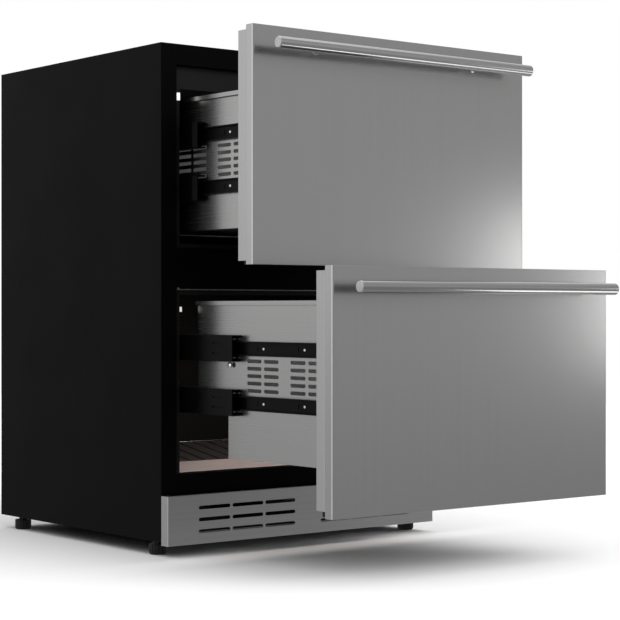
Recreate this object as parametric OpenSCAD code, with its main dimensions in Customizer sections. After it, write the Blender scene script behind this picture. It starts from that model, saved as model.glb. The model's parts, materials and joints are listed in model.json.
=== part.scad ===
// Undercounter beverage centre with two cooled drawers on telescopic slides.
// x runs across with 0 in the middle, +y runs to the back, z runs up from the floor.
// The drawers are drawn as far out as they stand in use: the upper half open, the lower nearly full.

/* [Cabinet] */
// Width of the cabinet and of both drawer fronts
body_w = 595; // [560:5:615]
// Depth of the cabinet from its front frame to its back
body_d = 546; // [536:2:580]
// Height of the top above the floor
body_h = 861; // [850:1:900]
// Height of the cabinet's underside above the floor
base_z = 24; // [20:1:28]
// Thickness of the painted outer sheets
sheet_t = 1; // [0.6:0.1:1.4]
// Outer radius of a folded sheet edge
bend_r = 1.6; // [1.5:0.1:3]
// Width of the front frame at each side
flange_w = 31; // [28:1:33]
// Depth that the front frame is folded back
flange_back = 12; // [8:1:14]
// Height of the frame above the control strip
top_bar_h = 35; // [30:1:40]
// Height of the sill's top above the floor
sill_top = 137; // [134:1:139]
// Height of the sill
sill_h = 42; // [38:1:46]
// Height of the bar between the drawers
mullion_h = 70; // [64:1:72]
// Width of the sheets' flanges at the back
rear_flange = 12; // [8:1:20]

/* [Liners] */
// Wall of the moulded liners
liner_t = 1.5; // [1:0.1:2]
// Width of the liner lip that shows inside the frame
lip_w = 8; // [6:0.5:9]
// Depth of the lip behind the front frame
lip_set = 3; // [2:0.5:5]
// Depth behind the compartments' rear wall, with the cooling coil and the insulation
rear_room = 131; // [125:1:135]
// Depth of the room for the cooling coil, to the upper liner's rear wall
coil_room = 65; // [60:1:75]
// Depth at which the lower floor starts to rise
ramp_start = 185; // [150:5:230]
// Rise of the lower floor towards the compressor step
ramp_rise = 23; // [15:1:25]
// Depth of the insulated wall between the compressor step's front and the compressor room
step_wall = 36; // [30:1:42]
// Height of the compressor step above the lower floor
step_rise = 92; // [80:1:93]
// Height of the air slots in the lower rear wall
louvre_h = 6; // [4:1:8]

/* [Control strip] */
// Height of the control strip with its joint to the frame above it
strip_h = 39; // [37:0.5:41]
// Depth of the strip behind the front frame
strip_set = 10; // [7:0.5:11]
// Wall of the strip
strip_t = 2.5; // [2:0.1:3]
// Depth of the strip's folded edges
strip_fold = 9; // [6:1:12]
// Width of the display window
window_w = 58; // [40:1:80]
// Height of the display window
window_h = 17; // [12:1:22]
// Diameter of a touch key
key_d = 9; // [6:0.5:11]
// Distance between the touch keys
key_pitch = 19; // [14:1:24]
// Height of a lamp lens
lamp_h = 13; // [8:1:16]

/* [Drawer fronts] */
// Thickness of the outer skin's box
skin_deep = 18; // [14:1:22]
// Thickness of the inner panel
inner_deep = 20.4; // [16:0.2:26]
// Radius of the front's upright edges
front_r = 3; // [2:0.5:4]
// Gap between the upper and the lower front
front_gap = 4.8; // [3:0.2:6]
// Gap between the lower front and the toe grille
toe_gap = 0.6; // [0.4:0.1:1.5]
// Inset of the inner panel at the top of each front
inner_top = 7.5; // [5:0.5:9]
// Inset of the inner panel at the bottom of the upper front
upper_inner_low = 6; // [4:0.5:8]
// Inset of the inner panel at the bottom of the lower front
lower_inner_low = 10.4; // [8:0.2:11]
// Thickness of the door seal
seal_t = 6; // [5:0.2:8]
// Width of the door seal
seal_w = 10; // [8:0.5:11]
// Inset of the seal from the inner panel's edge
seal_in = 12; // [11:0.5:13]

/* [Handles] */
// Diameter of the handle bar
bar_d = 19.5; // [14:0.5:22]
// Length of the handle bar
bar_len = 554; // [480:2:558]
// Distance of the bar's axis from the front
bar_reach = 37.4; // [32:0.2:45]
// Distance of the bar's axis below the front's top edge
bar_drop = 32; // [26:1:45]
// Chamfer at the bar's ends
bar_chamfer = 1.2; // [0.5:0.1:2]
// Diameter of a handle post
post_d = 11; // [8:0.5:13]
// Diameter of a handle post's foot
post_foot_d = 16; // [14:0.5:20]
// Thickness of a handle post's foot
post_foot_t = 3; // [2:0.2:4]
// Distance of each post from the middle
post_x = 173.5; // [120:0.5:220]

/* [Drawer boxes] */
// Thickness of the stainless sheet
box_t = 1.2; // [0.8:0.1:1.5]
// Room behind the boxes for their rear lip and the air
rear_clear = 22; // [19:1:35]
// Room between the compressor step and the lower box before it
step_clear = 14; // [12:1:25]
// Room between the compressor step and the lower box above it
step_over = 17; // [12:1:18]
// Room between the upper box and the ceiling
upper_clear = 18.5; // [15:0.5:30]
// Room between the lower box and the ceiling
lower_clear = 11.2; // [8.2:0.2:25]
// Room between the upper compartment's floor and the upper box
upper_lift = 22; // [16:1:23]
// Room between the lower compartment's floor and the lower box
lower_lift = 30; // [27:1:32]
// Height of the outward lip along the box's top
hem_h = 7; // [5:0.5:9]
// Width of the outward lip
hem_w = 5.5; // [4:0.5:7]
// Width of the folds that join the sheets
fold_w = 11; // [8:1:14]
// Length of a side slot
slot_len = 38.5; // [30:0.5:40]
// Height of a side slot
slot_h = 6; // [4:0.5:8]
// Distance between slot rows
slot_rows = 12; // [11:0.5:12.5]
// Distance between the two slots of a pair
slot_pitch = 45; // [43:0.5:50]
// Distance between the pairs
pair_pitch = 114; // [104:1:118]
// Distance of the first slot behind the front
slot_first = 57; // [50:1:64]
// Height of the beads pressed into the floors
bead_h = 1.5; // [1:0.1:2.5]

/* [Slides] */
// Height of the upper drawer's slides above the middle of its box
upper_rail_shift = 2; // [-8:1:8]
// Room between the compressor step and the slides above it
rail_clear = 3.95; // [2.5:0.05:10]
// Distance between the two slides of one side
rail_pitch = 88.5; // [84:0.5:92]
// Height of the drawer member
member_h = 23.5; // [22:0.5:24]
// Depth of the drawer member
member_deep = 8.6; // [8:0.1:9]
// Thickness of the slides' steel
rail_t = 1.8; // [1.4:0.1:1.9]
// Thickness of the middle member's raceways
race_t = 2.9; // [2.6:0.1:3.2]
// Depth of the middle member's front end in the closed cabinet
middle_set = 63; // [58:1:66]
// Room between the cabinet member's buffer and the rear wall
fixed_end = 7; // [6:0.5:18]
// Depth of the cabinet member's front end
fixed_set = 20; // [14:1:24]
// Diameter of the inner balls
inner_ball_d = 7.5; // [7:0.1:7.6]
// Diameter of the outer balls
outer_ball_d = 3.9; // [3.4:0.1:4]
// Running gap between balls and raceways
ball_gap = 0.25; // [0.2:0.05:0.35]
// Depth of each raceway groove
race_bite = 0.45; // [0.3:0.05:0.5]
// Thickness of the ball cages
cage_t = 0.8; // [0.6:0.1:1]
// Balls in each row of the inner cage
inner_balls = 5; // [3:1:5]
// Balls in each row of the outer cage
outer_balls = 7; // [4:1:7]
// Distance between inner balls
inner_ball_pitch = 22; // [16:1:22]
// Distance between outer balls
outer_ball_pitch = 22; // [14:1:22]
// Distance of the first rivet behind the front
rivet_first = 101; // [96:1:110]
// Distance between rivets
rivet_pitch = 106; // [98:1:110]
// Diameter of a rivet's head
rivet_head_d = 5.4; // [4.5:0.1:6]
// Diameter of a rivet's shank
rivet_d = 3.2; // [2.6:0.1:3.6]

/* [Opening] */
// How far the upper drawer stands open
upper_open = 210.4; // [150:0.2:300]
// How far the lower drawer stands open
lower_open = 407.3; // [310:0.1:420]

/* [Toe grille] */
// Height of the grille's top
toe_top = 102; // [99:1:104]
// Height of the grille's lower edge
toe_low = 19; // [16:1:22]
// Distance that the grille stands in front of the frame
toe_deep = 20; // [14:1:26]
// Thickness of the grille's steel
toe_t = 1; // [0.8:0.1:1.4]
// Length of a grille slot
toe_slot_len = 65.5; // [50:0.5:68]
// Height of a grille slot
toe_slot_h = 6.2; // [4:0.2:8]
// Bridge between two slots in a row
toe_bridge = 4.9; // [3.5:0.1:8]
// Distance of the first slot from the grille's end
toe_slot_first = 62.4; // [40:0.2:64]
// Distance between the slot rows
toe_row_pitch = 20; // [16:1:22]
// Height of the middle slot row
toe_row_z = 60; // [56:1:64]

/* [Base and machinery] */
// Thickness of the base sheet
base_t = 1.2; // [1:0.1:1.6]
// Height of the base's upturned edges
base_edge = 11; // [8:1:12]
// Depth of the compressor room
machine_deep = 190; // [188:1:196]
// Room above the compressor for its pipes
pipe_room = 27.8; // [23:0.2:31]
// Distance of the rear cover inside the back edge
cover_set = 6; // [4:0.5:8]
// Diameter of the compressor
compressor_d = 122; // [110:1:130]
// Height of the compressor's shell
compressor_h = 128; // [110:1:132]
// Distance of the compressor's axis from the cabinet's right side
compressor_side = 152.5; // [138:0.5:162]
// Diameter of the condenser fan
fan_d = 122; // [100:1:126]
// Depth of the drain pan
pan_h = 30; // [20:1:40]

/* [Evaporator] */
// Width of the cooling coil
coil_w = 300; // [240:2:330]
// Room between the cooling coil and the fan's ring above it
coil_under = 25; // [20:1:50]
// Number of coil fins
coil_fins = 16; // [8:1:20]
// Diameter of the cold air fan
cold_fan_d = 84; // [70:1:90]
// Distance of the cold air fan's axis below the upper ceiling
cold_fan_down = 59; // [55:1:65]

/* [Feet] */
// Diameter of a foot's pad
foot_d = 30; // [26:1:34]
// Height of a foot's pad
foot_h = 18; // [14:1:19]
// Distance of the feet from the cabinet's sides
foot_in = 18; // [17.5:0.5:24]
// Distance of the front feet behind the front frame
foot_front = 37; // [34:1:60]
// Distance of the rear feet from the cabinet's back
foot_rear = 53; // [50:1:70]
// Diameter of a foot's threaded stud
stud_d = 9.8; // [8:0.1:12]
// Length of the stud above the pad
stud_len = 34; // [30:1:38]

/* [Hidden] */
$fn = 48;
// Clearance between pieces that are fitted into each other
fit = 0.3;
// Small overlap that keeps a cut clear of its own faces
eps = 0.5;
// Running gap of the seal when a drawer is closed, and of the sliding studs and shafts
seal_gap = 0.3;
stud_gap = 0.1;
shaft_gap = 0.05;

half_w = body_w / 2;
front_deep = skin_deep + inner_deep;
// A closed drawer's front slab ends this far in front of the frame
closed_y = -(seal_t + seal_gap);
reach_y = front_deep + bar_reach + bar_d / 2;
// The frame's plane, placed so that the whole part is centred on y = 0 as it stands
front_y = (max(upper_open, lower_open) + reach_y - closed_y - body_d) / 2;

// Heights of the drawer fronts, of the bar behind the gap between them and of the control strip
fronts_z = toe_top + toe_gap;
front_h = (body_h + fit - fronts_z - front_gap) / 2;
upper_front_z = fronts_z + front_h + front_gap;
mullion_z = round(fronts_z + front_h + (front_gap - mullion_h) / 2);
strip_z = body_h - top_bar_h - strip_h;

// Depths of the drawers' rear wall, the upper liner, the compressor room's front and the step
room_deep = body_d - rear_room;
upper_deep = room_deep + coil_room;
room_front = body_d - machine_deep;
step_deep = room_front - step_wall;

// Compartments, measured between the inner faces of their walls
room_half = half_w - flange_w - lip_w;
lower_floor = sill_top + fit + liner_t;
lower_ceiling = mullion_z - lip_w;
upper_floor = mullion_z + mullion_h + lip_w;
upper_ceiling = strip_z + strip_t + 0.5;
step_top = lower_floor + step_rise;

// Slide profile: u is the distance from the box outwards, w the height from the slide's middle
inner_r = inner_ball_d / 2;
outer_r = outer_ball_d / 2;
inner_u = 5.2;
outer_u = 10.5;
inner_w = member_h / 2 - race_bite + ball_gap + inner_r;
middle_in = inner_w + inner_r + ball_gap - race_bite;
middle_out = middle_in + race_t;
outer_w = middle_out - race_bite + ball_gap + outer_r;
fixed_in = outer_w + outer_r + ball_gap - race_bite;
fixed_out = fixed_in + rail_t;
middle_near = 0.5;
fixed_near = 4.5;
// Gaps before and behind the cages' webs, and the slide's layers from the box to the liner
inner_web_gap = 3.3;
inner_web_back = 2;
outer_web_gap = 1.1;
outer_web_back = 1.3;
inner_cage_u = member_deep + inner_web_gap;
middle_far = inner_cage_u + cage_t + inner_web_back + rail_t;
outer_cage_u = middle_far + outer_web_gap;
rail_room = outer_cage_u + cage_t + outer_web_back + rail_t;

// Drawer boxes, which fill the room between the slides
box_half = room_half - rail_room;
box_deep = room_deep - rear_clear;
low_deep = step_deep - step_clear;
low_step = step_rise - lower_lift + step_over;
upper_box_z = upper_floor + upper_lift;
lower_box_z = lower_floor + lower_lift;
upper_box_h = upper_ceiling - upper_clear - upper_box_z;
lower_box_h = lower_ceiling - lower_clear - lower_box_z;

// Heights of the lower slide of each pair above its box's floor and above the ground
upper_rail_up = (upper_box_h - rail_pitch) / 2 + upper_rail_shift;
lower_rail_up = step_rise - lower_lift + rail_clear + fixed_out;
upper_rail_z = upper_box_z + upper_rail_up;
lower_rail_z = lower_box_z + lower_rail_up;

// Lengths of the slides' members, which end at the box, at a buffer and before the rear wall
member_set = 2;
middle_gap = 1;
buffer_t = 4;
member_len = box_deep - 2 * member_set;
fixed_len = room_deep - fixed_end - buffer_t - fixed_set;
middle_len = fixed_set + fixed_len - middle_gap - middle_set;

// Front ends of the cages in the closed cabinet, and the metal beyond each last ball
inner_cage_y = 174;
outer_cage_y = 134;
cage_end = 6;

// Underside of the foam, back sheet, and cold air duct
foam_low = sill_top - sill_h;
back_y = body_d - 2 * sheet_t;
duct_half = 45;
duct_set = 12;

// Compressor room: its cover and floor, the compressor's shell on its plate and grommets, the ceiling
cover_y = body_d - cover_set - sheet_t;
pan_floor = base_z + base_t;
grommet_h = 9;
plate_t = 3;
shell_z = pan_floor + grommet_h + plate_t;
room_top = shell_z + compressor_h + pipe_room;
compressor_x = half_w - compressor_side;
compressor_front = 94;
compressor_y = room_front + compressor_front;

// Places a child whose y = 0 is the plane of the front frame
module at_frame() {
    translate([0, front_y, 0]) children();
}

// A drawer's own frame: y = 0 is the rear face of its front slab, z = 0 the front's lower edge
module in_upper_drawer() {
    at_frame() translate([0, closed_y - upper_open, upper_front_z]) children();
}

module in_lower_drawer() {
    at_frame() translate([0, closed_y - lower_open, fronts_z]) children();
}

// Block between two corners
module block(low, high) {
    translate(low) cube(high - low);
}

// Extrudes a cross section drawn in (x, z) from y0 to y1
module along_y(y0, y1) {
    translate([0, y1, 0]) rotate([90, 0, 0]) linear_extrude(y1 - y0) children();
}

// Extrudes a side view drawn in (y, z) across the width from -half to +half
module across(half) {
    rotate([90, 0, 90]) translate([0, 0, -half]) linear_extrude(2 * half) children();
}

// The same child at the left and, mirrored, at the right
module both_sides() {
    children();
    mirror([1, 0, 0]) children();
}

// What is left of a square corner outside its fillet, to be cut away
module corner_waste(r) {
    difference() {
        translate([-eps, -eps]) square(r + eps);
        translate([r, r]) circle(r);
    }
}

// Round-ended slot along x, centred on its own middle
module slot2d(length, height) {
    square([length - height, height], center = true);
    for (end = [-1, 1]) translate([end * (length - height) / 2, 0]) circle(height / 2);
}

// Outer casing

module side_section() {
    difference() {
        union() {
            square([sheet_t, body_d]);
            square([flange_w, sheet_t]);
            translate([flange_w - sheet_t, 0]) square([sheet_t, flange_back]);
            translate([0, body_d - sheet_t]) square([rear_flange, sheet_t]);
        }
        corner_waste(bend_r);
        translate([0, body_d]) mirror([0, 1]) corner_waste(bend_r);
    }
}

module side_panel() {
    at_frame() translate([-half_w, 0, base_z]) linear_extrude(body_h - sheet_t - base_z) side_section();
}

module side_panel_left() {
    color([0.08, 0.08, 0.085]) side_panel();
}

module side_panel_right() {
    color([0.08, 0.08, 0.085]) mirror([1, 0, 0]) side_panel();
}

module top_panel() {
    bar_half = half_w - flange_w;
    color([0.08, 0.08, 0.085]) at_frame() {
        difference() {
            block([-half_w, 0, body_h - sheet_t], [half_w, body_d, body_h]);
            across(half_w + eps) translate([0, body_h]) mirror([0, 1]) corner_waste(sheet_t);
        }
        block([-bar_half, 0, body_h - top_bar_h], [bar_half, sheet_t, body_h - sheet_t]);
        block([-bar_half, 0, body_h - top_bar_h], [bar_half, flange_back, body_h - top_bar_h + sheet_t]);
        block([rear_flange + fit - half_w, body_d - sheet_t, body_h - rear_flange],
              [half_w - rear_flange - fit, body_d, body_h - sheet_t]);
    }
}

// Folded sheet that closes the foam at the back, over and before the compressor room, and below
module back_panel() {
    under = flange_back + fit;
    wall_y = room_front - sheet_t;
    color([0.62, 0.63, 0.64]) at_frame() across(half_w - sheet_t) {
        translate([back_y, room_top]) square([sheet_t, body_h - sheet_t - room_top]);
        translate([wall_y, room_top]) square([back_y - wall_y, sheet_t]);
        translate([wall_y, foam_low - sheet_t]) square([sheet_t, room_top + 2 * sheet_t - foam_low]);
        translate([under, foam_low - sheet_t]) square([wall_y - under, sheet_t]);
    }
}

// Folded channel that closes the frame between the side panels
module frame_channel(low, high) {
    half = half_w - flange_w;
    color([0.05, 0.05, 0.055]) at_frame() across(half) difference() {
        translate([0, low]) square([flange_back, high - low]);
        translate([sheet_t, low + sheet_t]) square([flange_back, high - low - 2 * sheet_t]);
        translate([0, low]) corner_waste(sheet_t);
        translate([0, high]) mirror([0, 1]) corner_waste(sheet_t);
    }
}

module front_sill() {
    frame_channel(foam_low, sill_top);
}

module mullion() {
    frame_channel(mullion_z, mullion_z + mullion_h);
}

// Liners and insulation

module liner_lip(low, high) {
    half = half_w - flange_w - fit;
    block([-half, lip_set, low], [half, lip_set + liner_t, high]);
}

// Side view of the lower compartment from depth y0, grown outwards by o
module lower_room(y0, o) {
    polygon([
        [y0, lower_floor - o],
        [ramp_start, lower_floor - o],
        [step_deep + o, lower_floor + ramp_rise - o],
        [step_deep + o, step_top - o],
        [room_deep + o, step_top - o],
        [room_deep + o, lower_ceiling + o],
        [y0, lower_ceiling + o]
    ]);
}

module upper_room(y0, o) {
    translate([y0, upper_floor - o]) square([upper_deep + o - y0, upper_ceiling - upper_floor + 2 * o]);
}

// Slots that let the cold air from the duct into the lower compartment
module louvres() {
    for (row = [0:4]) translate([0, lower_ceiling - 40 - 16 * row]) slot2d(2 * duct_half - 4, louvre_h);
}

module upper_liner() {
    color([0.13, 0.125, 0.12]) at_frame() difference() {
        union() {
            across(room_half + liner_t) upper_room(lip_set, liner_t);
            liner_lip(mullion_z + mullion_h + fit, strip_z - fit);
        }
        across(room_half) upper_room(0, 0);
        block([-half_w, 0, strip_z - fit], [half_w, strip_set + strip_t + strip_fold + fit, body_h]);
        // passage that leads the cold air down to the lower compartment
        block([-duct_half, room_deep + duct_set, upper_floor - 2 * liner_t],
              [duct_half, upper_deep - duct_set, upper_floor + eps]);
    }
}

module lower_liner() {
    color([0.13, 0.125, 0.12]) at_frame() difference() {
        union() {
            across(room_half + liner_t) lower_room(lip_set, liner_t);
            liner_lip(sill_top + fit, mullion_z - fit);
        }
        across(room_half) lower_room(0, 0);
        along_y(room_deep - eps, room_deep + 2 * liner_t) louvres();
    }
}

module insulation() {
    half = half_w - sheet_t;
    strip_half = half_w - flange_w;
    pocket_deep = 34;
    duct_wall = 2;
    duct_low = 130;
    color([0.85, 0.80, 0.62]) at_frame() difference() {
        block([-half, flange_back, foam_low], [half, back_y, body_h - sheet_t]);
        across(room_half + liner_t) {
            upper_room(0, liner_t);
            lower_room(0, liner_t);
        }
        block([-half_w, room_front - sheet_t, 0], [half_w, body_d, room_top + sheet_t]);
        // pocket for the controls behind the control strip
        block([-strip_half, 0, upper_ceiling - 5],
              [strip_half, flange_back + pocket_deep, body_h - top_bar_h + sheet_t]);
        // cold air duct between the compartments and behind the lower rear wall
        block([-duct_half - duct_wall, room_deep, mullion_z - duct_low],
              [duct_half + duct_wall, upper_deep - duct_set + duct_wall, upper_floor]);
    }
}

// Toe grille

module toe_slots() {
    for (side = [-1, 1]) for (row = [-1:1]) for (i = [0:2])
        translate([side * (half_w - toe_slot_first - toe_slot_len / 2 - i * (toe_slot_len + toe_bridge)),
                   toe_row_z + row * toe_row_pitch])
            slot2d(toe_slot_len, toe_slot_h);
}

module toe_grille() {
    // folds along the top and bottom, which reach the frame only beside the ends
    fold = 9;
    lug = 12;
    color([0.62, 0.62, 0.62]) at_frame() translate([0, -toe_deep, 0]) difference() {
        translate([0, 0, toe_low]) linear_extrude(toe_top - toe_low) difference() {
            translate([-half_w, 0]) square([body_w, toe_deep]);
            both_sides() translate([-half_w, 0]) corner_waste(bend_r);
        }
        block([toe_t - half_w, toe_t, toe_low + toe_t], [half_w - toe_t, toe_deep + eps, toe_top - toe_t]);
        block([lug - half_w, fold, toe_low - eps], [half_w - lug, toe_deep + eps, toe_top + eps]);
        along_y(-eps, toe_t + eps) toe_slots();
    }
}

// Control strip and lamps

strip_top = body_h - top_bar_h - fit;
strip_mid = (strip_z + strip_top) / 2;
// Distance of the first key from the window, and depths of the window and of the keys
key_first = 16;
window_deep = 1.2;
key_deep = 0.8;

module key_places() {
    for (side = [-1, 1]) for (i = [0:2])
        translate([side * (window_w / 2 + key_first + i * key_pitch), 0, strip_mid]) children();
}

// Window and keys, each smaller by o all round
module window(o, y0) {
    block([o - window_w / 2, y0, strip_mid - window_h / 2 + o],
          [window_w / 2 - o, strip_set + window_deep, strip_mid + window_h / 2 - o]);
}

module keys(o, y0) {
    key_places() along_y(y0, strip_set + key_deep) circle(key_d / 2 - o);
}

module control_strip() {
    half = half_w - flange_w - fit;
    color([0.10, 0.10, 0.105]) at_frame() difference() {
        across(half) translate([strip_set, strip_z]) difference() {
            square([strip_t + strip_fold, strip_top - strip_z]);
            translate([strip_t, strip_t]) square([strip_fold + eps, strip_top - strip_z - 2 * strip_t]);
        }
        window(0, strip_set - eps);
        keys(0, strip_set - eps);
    }
}

module control_display() {
    color([0.16, 0.17, 0.19]) at_frame() {
        window(fit, strip_set);
        keys(fit / 2, strip_set);
    }
}

module cabin_lamps() {
    lens_t = 1.8;
    upper_top = strip_z - 8;
    slides_top = lower_rail_z + rail_pitch + fixed_out;
    lower_top = lower_ceiling - (lower_ceiling - slides_top) / 3;
    color([0.95, 0.95, 0.92]) at_frame() {
        // upper lens on the lip below the control strip
        block([1.4 - room_half - lip_w, lip_set - lens_t, upper_top - lamp_h], [-room_half, lip_set, upper_top]);
        // lower lens on the wall below the bar
        block([-room_half, lip_set + 1, lower_top - lamp_h * 0.65], [5.6 - room_half, lip_set + 5, lower_top]);
    }
}

// Cooling of the compartments

cold_fan_z = upper_ceiling - cold_fan_down;
cold_hub_d = 30;
motor_d = 34;
shaft_d = 4;
blade_t = 1.6;
blade_pitch = 38;
// Closed nose of a fan's hub, in front of its bore
hub_nose = 3;

// Axial fan about y with its hub's front face at y = 0
module fan(diameter, blades, hub_d, deep) {
    difference() {
        union() {
            along_y(0, deep) circle(hub_d / 2);
            intersection() {
                along_y(0, deep) circle(diameter / 2);
                for (i = [0:blades - 1]) rotate([0, i * 360 / blades, 0])
                    translate([hub_d / 2 - 2, deep / 2, 0]) rotate([blade_pitch, 0, 0])
                        translate([0, -blade_t / 2, -deep]) cube([diameter / 2, blade_t, 2 * deep]);
            }
        }
        along_y(hub_nose, deep + eps) circle(shaft_d / 2 + shaft_gap);
    }
}

// Motor with its front face at y = 0, on three arms from a ring, and its shaft in the hub of a fan
// whose front face stands before the motor by reach
module fan_motor(ring_d, reach, deep) {
    arm_w = 8;
    arm_t = 3;
    along_y(0, deep) circle(motor_d / 2);
    along_y(hub_nose + fit - reach, 1) circle(shaft_d / 2);
    for (i = [0:2]) rotate([0, 90 + i * 120, 0])
        block([motor_d / 2 - 2, (deep - arm_t) / 2, -arm_w / 2], [ring_d / 2, (deep + arm_t) / 2, arm_w / 2]);
}

cover_t = 2;
cover_deep = 14;
cold_ring_t = 3;
cold_ring_deep = 44;
cold_ring_d = cold_fan_d + 8;
cold_fan_deep = 18;
cold_motor_deep = 14;
// Slots that draw the air back from the compartment
return_len = 130;
return_x = 120;
return_up = 26;
return_pitch = 14;
// Fan and motor behind the compartments' rear wall
cold_fan_y = room_deep + 10;
cold_motor_y = room_deep + cold_ring_deep - cold_motor_deep;

module evaporator_cover() {
    half = room_half - fit;
    low = upper_floor + fit;
    high = upper_ceiling - fit;
    slot = 6;
    color([0.15, 0.145, 0.14]) at_frame() {
        difference() {
            block([-half, room_deep, low], [half, room_deep + cover_deep, high]);
            block([cover_t - half, room_deep + cover_t, low + cover_t],
                  [half - cover_t, room_deep + cover_deep + eps, high - cover_t]);
            // grille in front of the fan
            translate([0, 0, cold_fan_z]) along_y(room_deep - eps, room_deep + cover_t + eps) intersection() {
                circle(cold_fan_d / 2 - 3);
                for (row = [-3:3]) translate([0, row * 11]) slot2d(cold_fan_d, slot);
            }
            // return air slots low on the wall
            along_y(room_deep - eps, room_deep + cover_t + eps)
                for (side = [-1, 1]) for (row = [0:3])
                    translate([side * return_x, low + return_up + row * return_pitch]) slot2d(return_len, slot);
        }
        // duct ring and motor of the fan
        translate([0, 0, cold_fan_z]) {
            along_y(room_deep + cover_t, room_deep + cold_ring_deep) difference() {
                circle(cold_ring_d / 2 + cold_ring_t);
                circle(cold_ring_d / 2);
            }
            translate([0, cold_motor_y, 0])
                fan_motor(cold_ring_d + cold_ring_t, cold_motor_y - cold_fan_y, cold_motor_deep);
        }
    }
}

module evaporator_fan() {
    color([0.20, 0.20, 0.21]) at_frame() translate([0, cold_fan_y, cold_fan_z])
        fan(cold_fan_d, 7, cold_hub_d, cold_fan_deep);
}

tube_d = 8;
// Straight length of a coil's tubes beyond its end plates
tube_out = 3;

// Coil tube that winds through fins in two columns at x = -a and a, and along y from 0 to len.
// At the far end each row's two tubes are joined, and at y = 0 each row with the next, in turn
// at the left and at the right, so that both ends of the tube are at the right.
module winding_tube(a, len, rows) {
    last = len(rows) - 1;
    for (z = rows) for (x = [-a, a]) translate([x, 0, z]) rotate([-90, 0, 0]) cylinder(d = tube_d, h = len);
    for (z = rows) translate([0, len, z]) rotate_extrude(angle = 180) translate([a, 0]) circle(d = tube_d);
    for (i = [0:last - 1]) {
        side = (last - i) % 2 == 1 ? -1 : 1;
        translate([side * a, 0, (rows[i] + rows[i + 1]) / 2]) rotate([0, 90, 180]) rotate_extrude(angle = 180)
            translate([(rows[i + 1] - rows[i]) / 2, 0]) circle(d = tube_d);
    }
}

// Place of the coil behind the wall and above the floor
coil_back = 22;
coil_up = 12;
coil_y = room_deep + coil_back;
coil_deep = 36;
coil_z = upper_floor + coil_up;
coil_h = cold_fan_z - cold_ring_d / 2 - cold_ring_t - coil_under - coil_z;

module evaporator() {
    pitch = (coil_w - 2) / (coil_fins - 1);
    rows = [for (k = [0.16, 0.5, 0.84]) k * coil_h];
    color([0.78, 0.79, 0.80]) at_frame() translate([0, coil_y, coil_z]) {
        // fins, with end plates that reach back to the liner
        for (i = [0:coil_fins - 1]) {
            last = i == 0 || i == coil_fins - 1;
            translate([i * pitch - coil_w / 2, 0, 0])
                cube([last ? 2 : 0.8, last ? upper_deep - coil_y : coil_deep, coil_h]);
        }
        translate([-coil_w / 2 - tube_out, coil_deep / 2, 0]) rotate([0, 0, -90])
            winding_tube(coil_deep * 0.22, coil_w + 2 * tube_out, rows);
    }
}

// Compressor room

module dome_profile() {
    r = compressor_d / 2;
    k = 22;
    square([r - k, compressor_h]);
    translate([0, k]) square([r, compressor_h - 2 * k]);
    for (z = [k, compressor_h - k]) translate([r - k, z]) circle(k);
    // seam where the two halves are welded
    translate([r - 1, compressor_h * 0.55]) square([4, 5]);
}

module compressor() {
    foot = 53;
    color([0.09, 0.09, 0.095]) at_frame() translate([compressor_x, compressor_y, 0]) {
        translate([0, 0, shell_z]) rotate_extrude() dome_profile();
        // mounting plate on four rubber grommets
        difference() {
            block([-foot - 12, -foot - 10, shell_z - plate_t], [foot + 12, foot + 10, shell_z]);
            for (x = [-foot, foot]) for (y = [-foot, foot])
                translate([x, y, shell_z - plate_t - 1]) cylinder(d = 8, h = plate_t + 2);
        }
        for (x = [-foot, foot]) for (y = [-foot, foot]) translate([x, y, pan_floor]) difference() {
            cylinder(d = 16, h = grommet_h);
            translate([0, 0, -1]) cylinder(d = 8, h = grommet_h + 2);
        }
        // terminal cover on the shell's side
        block([compressor_d / 2 - 6, -22, shell_z + 26], [compressor_d / 2 + 20, 22, shell_z + 76]);
    }
}

// Condenser: fins and tube rows, the shroud beside them and the fan in it
cond_x0 = -64;
cond_x1 = -24;
cond_a = (cond_x1 - cond_x0) / 2 - 11;
cond_z0 = pan_floor;
cond_z1 = room_top - 12;
cond_rows = [for (k = [0.1, 0.26, 0.42, 0.58, 0.74, 0.9]) cond_z0 + k * (cond_z1 - cond_z0)];
cond_y0 = room_front + 4 + tube_out + (cond_rows[1] - cond_rows[0] + tube_d) / 2;
cond_y1 = cover_y - 4 - tube_out - cond_a - tube_d / 2;
cond_fins = 15;
shroud_t = 2;
shroud_x = cond_x1 + 8;
fan_x = shroud_x + 10;
fan_y = (cond_y0 + cond_y1) / 2;
fan_z = (cond_z0 + cond_z1) / 2;
fan_front = -7;
fan_deep = 20;
motor_front = 16;
motor_deep = 18;

// Points +y to +x, so that a fan drawn about y turns about x
module about_x() {
    translate([fan_x, fan_y, fan_z]) rotate([0, 0, -90]) children();
}

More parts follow.
